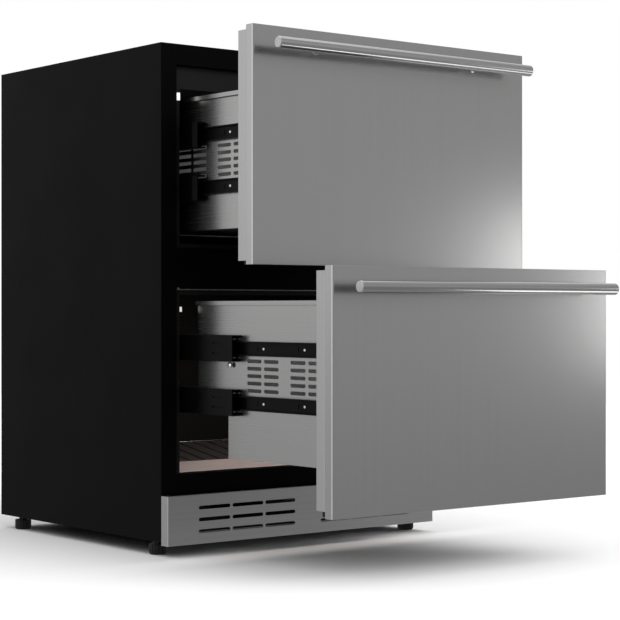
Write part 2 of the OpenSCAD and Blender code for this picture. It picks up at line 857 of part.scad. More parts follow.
module condenser() {
    pitch = (cond_y1 - cond_y0 - shroud_t) / (cond_fins - 1);
    inner = fan_d / 2 + 2;
    outer = inner + shroud_t;
    ring_end = 10;
    color([0.12, 0.12, 0.125]) at_frame() {
        for (i = [0:cond_fins - 1]) {
            last = i == 0 || i == cond_fins - 1;
            y = cond_y0 + i * pitch;
            block([cond_x0, y, last ? cond_z0 : cond_z0 + 4],
                  [last ? shroud_x + shroud_t : cond_x1, y + (last ? shroud_t : 0.8), cond_z1]);
        }
        translate([(cond_x0 + cond_x1) / 2, cond_y0 - tube_out, 0])
            winding_tube(cond_a, cond_y1 - cond_y0 + 2 * tube_out, cond_rows);
        // shroud with the fan's opening
        difference() {
            block([shroud_x, cond_y0, cond_z0], [shroud_x + shroud_t, cond_y1, cond_z1]);
            about_x() along_y(-20, 20) circle(inner);
        }
        about_x() {
            along_y(fan_front - 1, ring_end) difference() {
                circle(outer);
                circle(inner);
            }
            translate([0, motor_front, 0]) fan_motor(outer + inner, motor_front - fan_front, motor_deep);
            // the motor's arms fold forward to the ring
            for (i = [0:2]) rotate([0, 90 + i * 120, 0])
                block([inner + 0.5, ring_end - 2, -5], [outer + 1.5, motor_front + motor_deep / 2 + 3, 5]);
        }
    }
}

module condenser_fan() {
    color([0.10, 0.10, 0.11]) at_frame() about_x() translate([0, fan_front, 0]) fan(fan_d, 5, 36, fan_deep);
}

// Quarter bend of a pipe at corner p, from direction a to direction b
module bend(p, a, b, r, d) {
    o = p - r * a + r * b;
    n = cross(a, b);
    multmatrix([
        [-b[0], a[0], -n[0], o[0]],
        [-b[1], a[1], -n[1], o[1]],
        [-b[2], a[2], -n[2], o[2]],
        [0, 0, 0, 1]
    ]) rotate_extrude(angle = 90) translate([r, 0]) circle(d = d);
}

function unit(v) = v / norm(v);

// Straight pipe from p to q
module stretch(p, q, d) {
    v = q - p;
    translate(p) rotate([0, acos(v[2] / norm(v)), atan2(v[1], v[0])]) cylinder(d = d, h = norm(v));
}

// Pipe through points whose stretches are square to each other
module pipe(points, r, d) {
    last = len(points) - 1;
    for (i = [0:last - 1]) {
        dir = unit(points[i + 1] - points[i]);
        stretch(points[i] + (i > 0 ? r : 0) * dir, points[i + 1] - (i < last - 1 ? r : 0) * dir, d);
    }
    for (i = [1:last - 1])
        bend(points[i], unit(points[i] - points[i - 1]), unit(points[i + 1] - points[i]), r, d);
}

gas_d = 5;
suction_d = 7;
pipe_r = 5;
// Places of the pipes on the compressor, the suction pipe's run, and room round the runs
discharge_off = 22;
suction_off = 24;
suction_run = 40;
run_gap = 9;
suction_drop = 3;
drier_off = 14;
drier_up = 35;
drier_len = 90;

// Strainer in the liquid line, about z, from 0 to len
module filter_drier(len) {
    wide = 8;
    neck = gas_d / 2;
    rotate_extrude() polygon([[0, 0], [neck, 0], [wide, 8], [wide, len - 8], [neck, len], [0, len]]);
}

module refrigerant_pipes() {
    top = shell_z + compressor_h;
    discharge_x = compressor_x - discharge_off;
    suction_x = compressor_x + suction_off;
    suction_z = room_top - run_gap - suction_drop;
    tube_x = (cond_x0 + cond_x1) / 2 + cond_a;
    end_y = cond_y0 - tube_out;
    run_y = end_y - run_gap;
    over = room_top - run_gap;
    drier_x = fan_x + drier_off;
    first = cond_rows[len(cond_rows) - 1];
    color([0.72, 0.42, 0.24]) at_frame() {
        // hot gas pipe from the compressor over to the condenser's upper tube
        pipe([[discharge_x, compressor_y, top], [discharge_x, compressor_y, over],
              [discharge_x, run_y, over], [tube_x, run_y, over],
              [tube_x, run_y, first], [tube_x, end_y, first]], pipe_r, gas_d);
        // liquid line from its lower tube up into the insulation, with the filter drier
        pipe([[tube_x, end_y, cond_rows[0]], [tube_x, run_y, cond_rows[0]],
              [drier_x, run_y, cond_rows[0]], [drier_x, run_y, room_top]], pipe_r, gas_d);
        translate([drier_x, run_y, cond_z0 + drier_up]) filter_drier(drier_len);
        // suction pipe that comes down out of the insulation
        pipe([[suction_x, compressor_y, top], [suction_x, compressor_y, suction_z],
              [suction_x + suction_run, compressor_y, suction_z], [suction_x + suction_run, compressor_y, room_top]],
             pipe_r, suction_d);
    }
}

module drain_pan() {
    x0 = foot_in + 14 - half_w;
    x1 = cond_x0 - 10;
    y0 = room_front + 10;
    y1 = cover_y - 10;
    wall = 1.6;
    color([0.14, 0.14, 0.15]) at_frame() difference() {
        block([x0, y0, pan_floor], [x1, y1, pan_floor + pan_h]);
        block([x0 + wall, y0 + wall, pan_floor + wall], [x1 - wall, y1 - wall, pan_floor + pan_h + eps]);
    }
}

gland_x = half_w - 62;
gland_z = base_z + 42;
// Air slots of the rear cover
cover_slot_len = 60;
cover_slot_h = 7;
cover_slot_pitch = 76;
cover_row_pitch = 18;
gland_hole_d = 7.4;
gland_d = 15;

module rear_cover() {
    half = half_w - sheet_t - fit;
    color([0.10, 0.10, 0.105]) at_frame() difference() {
        block([-half, cover_y, pan_floor], [half, cover_y + sheet_t, room_top - fit]);
        // air slots above the cord's gland
        for (row = [0:5]) for (col = [-3:3])
            translate([col * cover_slot_pitch, cover_y, gland_z + 20 + row * cover_row_pitch])
                along_y(-eps, sheet_t + eps) slot2d(cover_slot_len, cover_slot_h);
        translate([gland_x, 0, gland_z]) along_y(cover_y - eps, cover_y + sheet_t + eps) circle(d = gland_d);
    }
}

module cord_gland() {
    inside = 9;
    flange = 3;
    color([0.06, 0.06, 0.06]) at_frame() translate([gland_x, cover_y, gland_z]) difference() {
        union() {
            along_y(-inside, sheet_t) circle(d = gland_d - 2 * stud_gap);
            along_y(sheet_t, sheet_t + flange) circle(d = gland_d + 6);
        }
        along_y(-inside - eps, sheet_t + flange + eps) circle(d = gland_hole_d);
    }
}

// Base and feet

function foot_places() = [
    [foot_in - half_w, foot_front], [half_w - foot_in, foot_front],
    [foot_in - half_w, body_d - foot_rear], [half_w - foot_in, body_d - foot_rear]
];

boss_h = 12;
boss_wall = 3.5;
stud_hole_d = stud_d + 2 * stud_gap;

module base_pan() {
    half = half_w - sheet_t;
    y0 = flange_back + fit;
    y1 = cover_y;
    color([0.30, 0.30, 0.31]) at_frame() difference() {
        union() {
            block([-half, y0, base_z], [half, y1, base_z + base_t]);
            block([-half, y0, base_z], [half, y0 + base_t, base_z + base_edge]);
            block([-half, y1 - base_t, base_z], [half, y1, base_z + base_edge]);
            for (side = [0, 1]) mirror([side, 0, 0])
                block([-half, y0, base_z], [base_t - half, y1, base_z + base_edge]);
            for (p = foot_places()) translate([p[0], p[1], base_z])
                cylinder(d = stud_hole_d + 2 * boss_wall, h = base_t + boss_h);
        }
        for (p = foot_places()) translate([p[0], p[1], base_z - eps])
            cylinder(d = stud_hole_d, h = base_t + boss_h + 2 * eps);
    }
}

// Levelling foot: ribbed pad, hexagonal nut for the spanner and threaded stud
module foot(i) {
    ribs = 16;
    place = foot_places()[i];
    color([0.07, 0.07, 0.07]) at_frame() translate([place[0], place[1], 0]) {
        translate([0, 0, 2]) linear_extrude(foot_h - 2) difference() {
            circle(d = foot_d);
            for (k = [0:ribs - 1]) rotate(k * 360 / ribs) translate([foot_d / 2 + 0.6, 0]) circle(d = 3.2);
        }
        cylinder(d = foot_d - 3, h = 2.5);
        translate([0, 0, foot_h]) cylinder(d = 17, h = 3.6, $fn = 6);
        translate([0, 0, foot_h]) cylinder(d = stud_d, h = stud_len);
    }
}

module foot_front_left() {
    foot(0);
}

module foot_front_right() {
    foot(1);
}

module foot_rear_left() {
    foot(2);
}

module foot_rear_right() {
    foot(3);
}

// Drawer fronts

// Plan of the front with its rounded upright edges, drawn inset by o
module front_plan(o) {
    difference() {
        translate([o - half_w, o - front_deep]) square([body_w - 2 * o, skin_deep - 2 * o]);
        both_sides() translate([o - half_w, o - front_deep]) corner_waste(front_r - o);
    }
}

module front_skin(inner_low) {
    color([0.68, 0.68, 0.68]) difference() {
        linear_extrude(front_h) front_plan(0);
        translate([0, 0, sheet_t]) linear_extrude(front_h - 2 * sheet_t) front_plan(sheet_t);
        block([sheet_t - half_w, -inner_deep - 2 * sheet_t, inner_low + sheet_t],
              [half_w - sheet_t, -inner_deep + eps, front_h - inner_top - sheet_t]);
    }
}

module front_inner(inner_low) {
    color([0.60, 0.60, 0.60]) difference() {
        block([-half_w, -inner_deep, inner_low], [half_w, 0, front_h - inner_top]);
        block([sheet_t - half_w, -inner_deep - eps, inner_low + sheet_t],
              [half_w - sheet_t, -sheet_t, front_h - inner_top - sheet_t]);
    }
}

module front_foam(inner_low) {
    color([0.85, 0.80, 0.62]) union() {
        translate([0, 0, sheet_t]) linear_extrude(front_h - 2 * sheet_t) front_plan(sheet_t);
        block([sheet_t - half_w, -inner_deep - 2 * sheet_t, inner_low + sheet_t],
              [half_w - sheet_t, -sheet_t, front_h - inner_top - sheet_t]);
    }
}

// Ring of rubber between the slab and the frame, drawn as foot, waist and magnet pad
module seal(inner_low) {
    low = inner_low + seal_in;
    high = front_h - inner_top - seal_in;
    side = half_w - seal_in;
    thirds = [[0, seal_t / 3, 0], [seal_t / 3, seal_t * 2 / 3, seal_w / 4], [seal_t * 2 / 3, seal_t, 0]];
    color([0.10, 0.10, 0.10]) for (layer = thirds) {
        o = layer[2];
        difference() {
            block([o - side, layer[0], low + o], [side - o, layer[1], high - o]);
            block([seal_w - o - side, layer[0] - eps, low + seal_w - o],
                  [side - seal_w + o, layer[1] + eps, high - seal_w + o]);
        }
    }
}

// Handle

bar_z = front_h - bar_drop;
bar_y = -front_deep - bar_reach;

module handle_bar() {
    color([0.72, 0.72, 0.72]) translate([-bar_len / 2, bar_y, bar_z]) rotate([0, 90, 0]) {
        r = bar_d / 2;
        rotate_extrude() polygon([
            [0, 0], [r - bar_chamfer, 0], [r, bar_chamfer],
            [r, bar_len - bar_chamfer], [r - bar_chamfer, bar_len], [0, bar_len]
        ]);
    }
}

// Half outline of a post, from the bar's axis to the front, hollowed out between its saddle and its foot
module post_outline() {
    wide = post_foot_d / 2;
    fillet = wide - post_d / 2;
    saddle = bar_d / 2 + fillet;
    foot = bar_reach - post_foot_t - fillet;
    difference() {
        square([wide, bar_reach]);
        translate([wide - fillet, saddle]) square([fillet + eps, foot - saddle]);
        for (h = [saddle, foot]) translate([wide, h]) circle(fillet);
    }
}

module handle_posts() {
    color([0.66, 0.66, 0.66]) difference() {
        for (side = [-1, 1]) translate([side * post_x, bar_y, bar_z]) rotate([-90, 0, 0])
            rotate_extrude() post_outline();
        translate([-bar_len / 2, bar_y, bar_z]) rotate([0, 90, 0]) cylinder(d = bar_d + 0.04, h = bar_len);
    }
}

// Drawer boxes, with z given from the front's lower edge

// Side view of one side sheet
module side_sheet(low, high, step, deep_low) {
    polygon([[0, low], [deep_low, low], [deep_low, step], [box_deep, step], [box_deep, high], [0, high]]);
}

module side_slots(mid) {
    for (group = [0, 1]) for (i = [0, 1]) for (row = [-2:2])
        translate([slot_first + group * pair_pitch + i * slot_pitch + slot_len / 2, mid + row * slot_rows])
            slot2d(slot_len, slot_h);
}

function rivet_places() = [for (i = [0:2]) rivet_first + i * rivet_pitch];

// Left side of a box; rail is the height of its lower slide
module box_side(low, high, step, deep_low, rail) {
    x = -box_half;
    color([0.74, 0.74, 0.74]) difference() {
        union() {
            rotate([90, 0, 90]) translate([0, 0, x]) linear_extrude(box_t) side_sheet(low, high, step, deep_low);
            // hem folded outwards along the top
            block([x - hem_w, 0, high - box_t], [x + box_t, box_deep, high]);
            block([x - hem_w, 0, high - hem_h], [x - hem_w + box_t, box_deep, high]);
            // fold that is screwed to the front slab, and fold under the floor
            block([x, 0, low], [x + fold_w, box_t, high - 2 * box_t]);
            block([x, 0, low], [x + fold_w, deep_low - box_t, low + box_t]);
        }
        rotate([90, 0, 90]) translate([0, 0, x - eps]) linear_extrude(box_t + 2 * eps) side_slots(rail + rail_pitch / 2);
        for (h = [rail, rail + rail_pitch]) for (y = rivet_places())
            translate([x - eps, y, h]) rotate([0, 90, 0]) cylinder(d = rivet_d + 2 * stud_gap, h = box_t + 2 * eps);
    }
}

module box_back(low, high, step, deep_low) {
    half = box_half - box_t;
    color([0.72, 0.72, 0.72]) {
        block([-half, box_deep - box_t, step], [half, box_deep, high]);
        if (deep_low < box_deep) {
            block([-half, deep_low - box_t, step], [half, box_deep, step + box_t]);
            block([-half, deep_low - box_t, low], [half, deep_low, step + box_t]);
        }
        // hem folded backwards along the top
        block([-half, box_deep - box_t, high - box_t], [half, box_deep + hem_w, high]);
        block([-half, box_deep + hem_w - box_t, high - hem_h], [half, box_deep + hem_w, high]);
    }
}

module box_floor(low, deep_low) {
    half = box_half - box_t;
    top = low + 2 * box_t;
    beads = 5;
    color([0.70, 0.70, 0.70]) {
        block([-half, box_t, low + box_t], [half, deep_low - box_t, top]);
        // beads pressed up along the floor
        for (i = [0:beads - 1]) {
            x = (i - (beads - 1) / 2) * half / 3;
            intersection() {
                translate([x, 0, top + bead_h - 5]) along_y(30, deep_low - 30) circle(5);
                block([x - 6, 0, top - box_t / 2], [x + 6, deep_low, top + 6]);
            }
        }
    }
}

// Telescopic slides: cross sections at the left side, with x = -u and y = w

module ball_pair(u, w, r) {
    for (end = [-1, 1]) translate([-u, end * w]) circle(r);
}

module member_section() {
    difference() {
        translate([-member_deep, -member_h / 2]) square([member_deep, member_h]);
        translate([-member_deep - eps, rail_t - member_h / 2])
            square([member_deep + eps - rail_t, member_h - 2 * rail_t]);
        ball_pair(inner_u, inner_w, inner_r + ball_gap);
    }
}

module middle_section() {
    difference() {
        translate([-middle_far, -middle_out]) square([middle_far - middle_near, 2 * middle_out]);
        translate([rail_t - middle_far, -middle_in]) square([middle_far, 2 * middle_in]);
        ball_pair(inner_u, inner_w, inner_r + ball_gap);
        ball_pair(outer_u, outer_w, outer_r + ball_gap);
    }
}

module fixed_section() {
    difference() {
        translate([-rail_room, -fixed_out]) square([rail_room - fixed_near, 2 * fixed_out]);
        translate([rail_t - rail_room, -fixed_in]) square([rail_room, 2 * fixed_in]);
        ball_pair(outer_u, outer_w, outer_r + ball_gap);
    }
}

module cage_section(web_u, u, w, r) {
    for (end = [-1, 1]) translate([-web_u - cage_t, end * w - cage_t / 2])
        square([web_u + cage_t - u + r * 0.8, cage_t]);
    translate([-web_u - cage_t, -w]) square([cage_t, 2 * w]);
}

// Cage with its balls, from y = start
module cage(start, web_u, u, w, r, count, pitch) {
    along_y(start, start + (count - 1) * pitch + 2 * cage_end) cage_section(web_u, u, w, r);
    for (end = [-1, 1]) for (i = [0:count - 1])
        translate([-u, start + cage_end + i * pitch, end * w]) sphere(r);
}

// Repeats a left slide's child at both heights and both sides
module at_slides(low_rail) {
    both_sides() for (h = [low_rail, low_rail + rail_pitch]) translate([-box_half, 0, h]) children();
}

// Drawer members, with y from the slab's rear face
module drawer_rails(low_rail) {
    color([0.11, 0.11, 0.115]) at_slides(low_rail) difference() {
        along_y(member_set, member_set + member_len) member_section();
        for (y = rivet_places()) {
            translate([-rail_t - eps, y, 0]) rotate([0, 90, 0]) cylinder(d = rivet_d + 2 * stud_gap, h = rail_t + 2 * eps);
            // locating slot behind each rivet
            block([-rail_t - eps, y + 15, -4.5], [eps, y + 17, 4.5]);
        }
    }
}

module rail_rivets(low_rail) {
    color([0.80, 0.80, 0.80]) at_slides(low_rail) for (y = rivet_places()) translate([0, y, 0]) {
        translate([-rail_t - 1.3, 0, 0]) rotate([0, 90, 0]) cylinder(d1 = rivet_head_d - 1, d2 = rivet_head_d, h = 1.3);
        translate([-rail_t, 0, 0]) rotate([0, 90, 0]) cylinder(d = rivet_d, h = rail_t + box_t);
    }
}

// Middle members, with y from the front frame and the drawer out by open
module middle_rails(low_rail, open) {
    y0 = middle_set - open / 2;
    color([0.11, 0.11, 0.115]) at_slides(low_rail) difference() {
        along_y(y0, y0 + middle_len) middle_section();
        // lanced stops of the cage near the front end
        for (w = [-8, 8]) block([-middle_far - eps, y0 + 30, w - 1], [rail_t - middle_far + eps, y0 + 56, w + 1]);
    }
}

module cabinet_rails(low_rail) {
    y1 = fixed_set + fixed_len;
    color([0.11, 0.11, 0.115]) at_slides(low_rail) {
        along_y(fixed_set, y1) fixed_section();
        // buffer that stops the middle member when the drawer shuts
        block([-rail_room, y1, -fixed_out], [-fixed_near, y1 + buffer_t, fixed_out]);
    }
}

module inner_cages(low_rail, open) {
    color([0.55, 0.55, 0.56]) at_slides(low_rail)
        cage(inner_cage_y - open * 3 / 4, inner_cage_u, inner_u, inner_w, inner_r, inner_balls, inner_ball_pitch);
}

module outer_cages(low_rail, open) {
    color([0.55, 0.55, 0.56]) at_slides(low_rail)
        cage(outer_cage_y - open / 4, outer_cage_u, outer_u, outer_w, outer_r, outer_balls, outer_ball_pitch);
}

// Upper drawer

upper_low = upper_box_z - upper_front_z;
upper_high = upper_low + upper_box_h;

module upper_front_skin() {
    in_upper_drawer() front_skin(upper_inner_low);
}

module upper_front_foam() {
    in_upper_drawer() front_foam(upper_inner_low);
}

module upper_front_inner() {
    in_upper_drawer() front_inner(upper_inner_low);
}

module upper_seal() {
    in_upper_drawer() seal(upper_inner_low);
}

module upper_handle_bar() {
    in_upper_drawer() handle_bar();
}

module upper_handle_posts() {
    in_upper_drawer() handle_posts();
}

module upper_box_left() {
    in_upper_drawer() box_side(upper_low, upper_high, upper_low, box_deep, upper_low + upper_rail_up);
}

module upper_box_right() {
    mirror([1, 0, 0]) upper_box_left();
}

module upper_box_back() {
    in_upper_drawer() box_back(upper_low, upper_high, upper_low, box_deep);
}

module upper_box_floor() {
    in_upper_drawer() box_floor(upper_low, box_deep);
}

module upper_drawer_rails() {
    in_upper_drawer() drawer_rails(upper_low + upper_rail_up);
}

module upper_rail_rivets() {
    in_upper_drawer() rail_rivets(upper_low + upper_rail_up);
}

module upper_middle_rails() {
    at_frame() middle_rails(upper_rail_z, upper_open);
}

module upper_cabinet_rails() {
    at_frame() cabinet_rails(upper_rail_z);
}

module upper_inner_cages() {
    at_frame() inner_cages(upper_rail_z, upper_open);
}

module upper_outer_cages() {
    at_frame() outer_cages(upper_rail_z, upper_open);
}

// Lower drawer

lower_low = lower_box_z - fronts_z;
lower_high = lower_low + lower_box_h;
lower_step = lower_low + low_step;

module lower_front_skin() {
    in_lower_drawer() front_skin(lower_inner_low);
}

module lower_front_foam() {
    in_lower_drawer() front_foam(lower_inner_low);
}

module lower_front_inner() {
    in_lower_drawer() front_inner(lower_inner_low);
}

module lower_seal() {
    in_lower_drawer() seal(lower_inner_low);
}

module lower_handle_bar() {
    in_lower_drawer() handle_bar();
}

module lower_handle_posts() {
    in_lower_drawer() handle_posts();
}

module lower_box_left() {
    in_lower_drawer() box_side(lower_low, lower_high, lower_step, low_deep, lower_low + lower_rail_up);
}

module lower_box_right() {
    mirror([1, 0, 0]) lower_box_left();
}

module lower_box_back() {
    in_lower_drawer() box_back(lower_low, lower_high, lower_step, low_deep);
}

module lower_box_floor() {
    in_lower_drawer() box_floor(lower_low, low_deep);
}

module lower_drawer_rails() {
    in_lower_drawer() drawer_rails(lower_low + lower_rail_up);
}

module lower_rail_rivets() {
    in_lower_drawer() rail_rivets(lower_low + lower_rail_up);
}

module lower_middle_rails() {
    at_frame() middle_rails(lower_rail_z, lower_open);
}

module lower_cabinet_rails() {
    at_frame() cabinet_rails(lower_rail_z);
}

module lower_inner_cages() {
    at_frame() inner_cages(lower_rail_z, lower_open);
}

module lower_outer_cages() {
    at_frame() outer_cages(lower_rail_z, lower_open);
}

side_panel_left();
side_panel_right();
top_panel();
back_panel();
base_pan();
front_sill();
mullion();
upper_liner();
lower_liner();
insulation();
toe_grille();
control_strip();
control_display();
cabin_lamps();
evaporator_cover();
evaporator();
evaporator_fan();
compressor();
condenser();
condenser_fan();
refrigerant_pipes();
drain_pan();
rear_cover();
cord_gland();
foot_front_left();
foot_front_right();
foot_rear_left();
foot_rear_right();
upper_front_skin();
upper_front_foam();
upper_front_inner();
upper_seal();
upper_handle_bar();
upper_handle_posts();
upper_box_left();
upper_box_right();
upper_box_back();
upper_box_floor();
upper_drawer_rails();
upper_rail_rivets();
upper_middle_rails();
upper_cabinet_rails();
upper_inner_cages();
upper_outer_cages();
lower_front_skin();
lower_front_foam();
lower_front_inner();
lower_seal();
lower_handle_bar();
lower_handle_posts();
lower_box_left();
lower_box_right();
lower_box_back();
lower_box_floor();
lower_drawer_rails();
lower_rail_rivets();
lower_middle_rails();
lower_cabinet_rails();
lower_inner_cages();
lower_outer_cages();
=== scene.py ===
# Undercounter beverage centre with two steel drawers, put together from its casing to the studio round it.
# x runs across, -y is the front and z is up, in metres.
import json
import math

import bmesh
import bpy
from mathutils import Matrix, Vector


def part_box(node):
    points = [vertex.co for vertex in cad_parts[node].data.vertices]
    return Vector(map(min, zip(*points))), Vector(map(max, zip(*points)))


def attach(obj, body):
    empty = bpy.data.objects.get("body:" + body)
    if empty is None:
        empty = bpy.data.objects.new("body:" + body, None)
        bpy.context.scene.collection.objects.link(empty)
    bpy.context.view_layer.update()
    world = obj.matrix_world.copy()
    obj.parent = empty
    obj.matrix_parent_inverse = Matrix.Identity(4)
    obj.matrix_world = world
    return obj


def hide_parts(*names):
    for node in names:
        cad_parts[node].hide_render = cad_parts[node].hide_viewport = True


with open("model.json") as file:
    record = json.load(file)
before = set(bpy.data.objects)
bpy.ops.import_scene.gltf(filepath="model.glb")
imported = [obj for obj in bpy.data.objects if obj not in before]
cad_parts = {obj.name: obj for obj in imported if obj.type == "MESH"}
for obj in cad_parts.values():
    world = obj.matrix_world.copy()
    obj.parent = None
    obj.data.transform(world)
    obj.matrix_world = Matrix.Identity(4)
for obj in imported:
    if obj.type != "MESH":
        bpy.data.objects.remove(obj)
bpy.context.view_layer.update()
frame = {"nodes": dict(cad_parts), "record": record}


# Casing
# Two side panels and a top panel of thin sheet steel, folded round to the front as the frame and sprayed
# in satin black. The paint has a fine orange peel and hardly shines.
MM = 0.001
MERGE = 0.001 * MM
SOFT_EDGE = math.radians(50)
SHARP_EDGE = math.radians(28)
body_of = {node: body for body, members in frame["record"]["behaviour"]["bodies"].items() for node in members}
slot_of = {part["node"]: part["material_slot"] for part in frame["record"]["subparts"]}


def finish(name, colour, metallic=0.0, roughness=0.5, specular=0.5, coat=0.0):
    """New material with one Principled shader, and the tree and shader that its pattern is added to."""
    made = bpy.data.materials.new(name)
    made.use_nodes = True
    shader = made.node_tree.nodes["Principled BSDF"]
    shader.inputs["Base Color"].default_value = (*colour, 1.0)
    shader.inputs["Metallic"].default_value = metallic
    shader.inputs["Roughness"].default_value = roughness
    shader.inputs["Specular IOR Level"].default_value = specular
    shader.inputs["Coat Weight"].default_value = coat
    return made, made.node_tree, shader


def add(tree, kind, sockets=None, **settings):
    """Adds a shader node with values for some of its sockets and settings."""
    node = tree.nodes.new("ShaderNode" + kind)
    for key, value in settings.items():
        setattr(node, key, value)
    for key, value in (sockets or {}).items():
        node.inputs[key].default_value = value
    return node


def effect(name, inputs, outputs):
    """Empty node group with named inputs, each given as (socket type, value), and outputs for masks."""
    group = bpy.data.node_groups.new(name, "ShaderNodeTree")
    for label, (kind, value) in inputs.items():
        group.interface.new_socket(label, in_out="INPUT", socket_type=kind).default_value = value
    for label in outputs:
        group.interface.new_socket(label, in_out="OUTPUT", socket_type="NodeSocketFloat")
    return group, group.nodes.new("NodeGroupInput"), group.nodes.new("NodeGroupOutput")


def spread(tree, mask, socket, low, high):
    """Feeds a 0 to 1 mask into a shader's value socket, as values from low to high."""
    levels = add(tree, "MapRange", {"To Min": low, "To Max": high})
    tree.links.new(mask, levels.inputs["Value"])
    tree.links.new(levels.outputs["Result"], socket)


def tint(tree, mask, socket, dark, light):
    """Feeds a 0 to 1 mask into a colour socket, as colours from dark to light."""
    mix = add(tree, "MixRGB", {"Color1": (*dark, 1.0), "Color2": (*light, 1.0)})
    tree.links.new(mask, mix.inputs["Fac"])
    tree.links.new(mix.outputs["Color"], socket)


def relief(tree, height, socket, depth, strength=1.0):
    """Raises a surface by a 0 to 1 height times depth, given in metres."""
    bump = add(tree, "Bump", {"Strength": strength, "Distance": depth})
    tree.links.new(height, bump.inputs["Height"])
    tree.links.new(bump.outputs["Normal"], socket)


# Soft blotches and a fine pebbled skin, for paint, plastic and rubber
mottle, mottle_in, mottle_out = effect(
    "mottle",
    {"Blotches": ("NodeSocketFloat", 9.0), "Pebbles": ("NodeSocketFloat", 900.0)},
    ["Blotch", "Pebble"])
mottle_place = add(mottle, "TexCoord")
for source, target, detail in (("Blotches", "Blotch", 4.0), ("Pebbles", "Pebble", 1.0)):
    noise = add(mottle, "TexNoise", {"Detail": detail, "Roughness": 0.55})
    mottle.links.new(mottle_place.outputs["Object"], noise.inputs["Vector"])
    mottle.links.new(mottle_in.outputs[source], noise.inputs["Scale"])
    levels = add(mottle, "MapRange", {"From Min": 0.3, "From Max": 0.7})
    mottle.links.new(noise.outputs["Fac"], levels.inputs["Value"])
    mottle.links.new(levels.outputs["Result"], mottle_out.inputs[target])


def mottled_finish(name, colour, scales, gloss=None, bump=None, colours=None, **settings):
    """Finish with blotches of roughness, of colour too where colours are given, and with a pebbled skin where
    bump gives its depth and strength. scales are the blotches' and the pebbles' counts in a metre."""
    made, tree, shader = finish(name, colour, **settings)
    pattern = tree.nodes.new("ShaderNodeGroup")
    pattern.node_tree = mottle
    pattern.inputs["Blotches"].default_value, pattern.inputs["Pebbles"].default_value = scales
    if gloss:
        spread(tree, pattern.outputs["Blotch"], shader.inputs["Roughness"], *gloss)
    if colours:
        tint(tree, pattern.outputs["Blotch"], shader.inputs["Base Color"], *colours)
    if bump:
        relief(tree, pattern.outputs["Pebble"], shader.inputs["Normal"], *bump)
    return made


def skin(name, bm, look, body, slot, *stands_for):
    """Turns a bmesh into a piece that rides on a body, evenly shaded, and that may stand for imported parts."""
    for face in bm.faces:
        face.smooth = True
    for edge in bm.edges:
        edge.smooth = edge.is_manifold and edge.calc_face_angle(0.0) < SOFT_EDGE
    mesh = bpy.data.meshes.new(name)
    bm.to_mesh(mesh)
    bm.free()
    mesh.materials.append(look)
    piece = bpy.data.objects.new(name, mesh)
    bpy.context.scene.collection.objects.link(piece)
    even = piece.modifiers.new("even shading", "WEIGHTED_NORMAL")
    even.keep_sharp = True
    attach(piece, body)
    if stands_for:
        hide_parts(*stands_for)
    return piece


def eased(bm, radius, segments=2):
    """Rounds every sharp edge of what the bmesh holds."""
    sharp = [edge for edge in bm.edges if edge.is_manifold and edge.calc_face_angle(0.0) > SHARP_EDGE]
    bmesh.ops.bevel(bm, geom=sharp, offset=radius, offset_type="OFFSET", segments=segments, profile=0.5,
                    affect="EDGES", clamp_overlap=True, material=-1)
    return bm


def rounded(node, look, radius=0.3 * MM, segments=2):
    """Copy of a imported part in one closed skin, with its sharp edges rounded. It stands for that part."""
    bm = bmesh.new()
    bm.from_mesh(frame["nodes"][node].data)
    bmesh.ops.remove_doubles(bm, verts=bm.verts, dist=2 * MERGE)
    bmesh.ops.dissolve_limit(bm, angle_limit=math.radians(0.5), verts=bm.verts, edges=bm.edges)
    return skin(node + "_surface", eased(bm, radius, segments), look, body_of[node], slot_of[node], node)


def dress(node, look):
    """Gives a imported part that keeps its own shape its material."""
    for place in frame["nodes"][node].material_slots:
        place.material = look


black_paint = mottled_finish("black_paint", (0.0014, 0.0014, 0.0014), (7.0, 1100.0), (0.42, 0.50),
                             bump=(0.02 * MM, 0.6), roughness=0.45, specular=0.034)

for node in ("side_panel_left", "side_panel_right", "top_panel"):
    rounded(node, black_paint, 0.35 * MM)


# Back
# Folded zinc-coated sheet that closes the foam at the back and over the compressor room. Low rivets hold it
# to the flanges of the side panels, and two caps close the holes that the foam is poured through.
UPRIGHT = Vector((0, 0, 1))


def leaning(centre, axis):
    """Place at centre whose z points along axis."""
    return Matrix.Translation(centre) @ UPRIGHT.rotation_difference(Vector(axis)).to_matrix().to_4x4()


def turned(bm, outline, centre, axis, steps=32):
    """Turns an outline of (radius, height) points about an axis through centre, heights along the axis."""
    place = leaning(centre, axis)
    points = [bm.verts.new(place @ Vector((radius, 0, height))) for radius, height in outline]
    edges = [bm.edges.new(pair) for pair in zip(points, points[1:])]
    bmesh.ops.spin(bm, geom=points + edges, cent=centre, axis=axis, angle=math.tau, steps=steps,
                   use_merge=True)
    bmesh.ops.remove_doubles(bm, verts=bm.verts, dist=MERGE)


def closed(bm):
    """Merges the doubles and turns every face outwards."""
    bmesh.ops.remove_doubles(bm, verts=bm.verts, dist=MERGE)
    bmesh.ops.recalc_face_normals(bm, faces=bm.faces)
    return bm


def spaced(low, high, count):
    """Evenly spaced values from low to high."""
    return [low + (high - low) * i / (count - 1) for i in range(count)]


zinc = mottled_finish("zinc_sheet", (0.36, 0.37, 0.38), (130.0, 500.0), (0.38, 0.48),
                      colours=((0.33, 0.34, 0.35), (0.40, 0.41, 0.42)), metallic=0.85, roughness=0.42)
rounded("back_panel", zinc, 0.25 * MM)

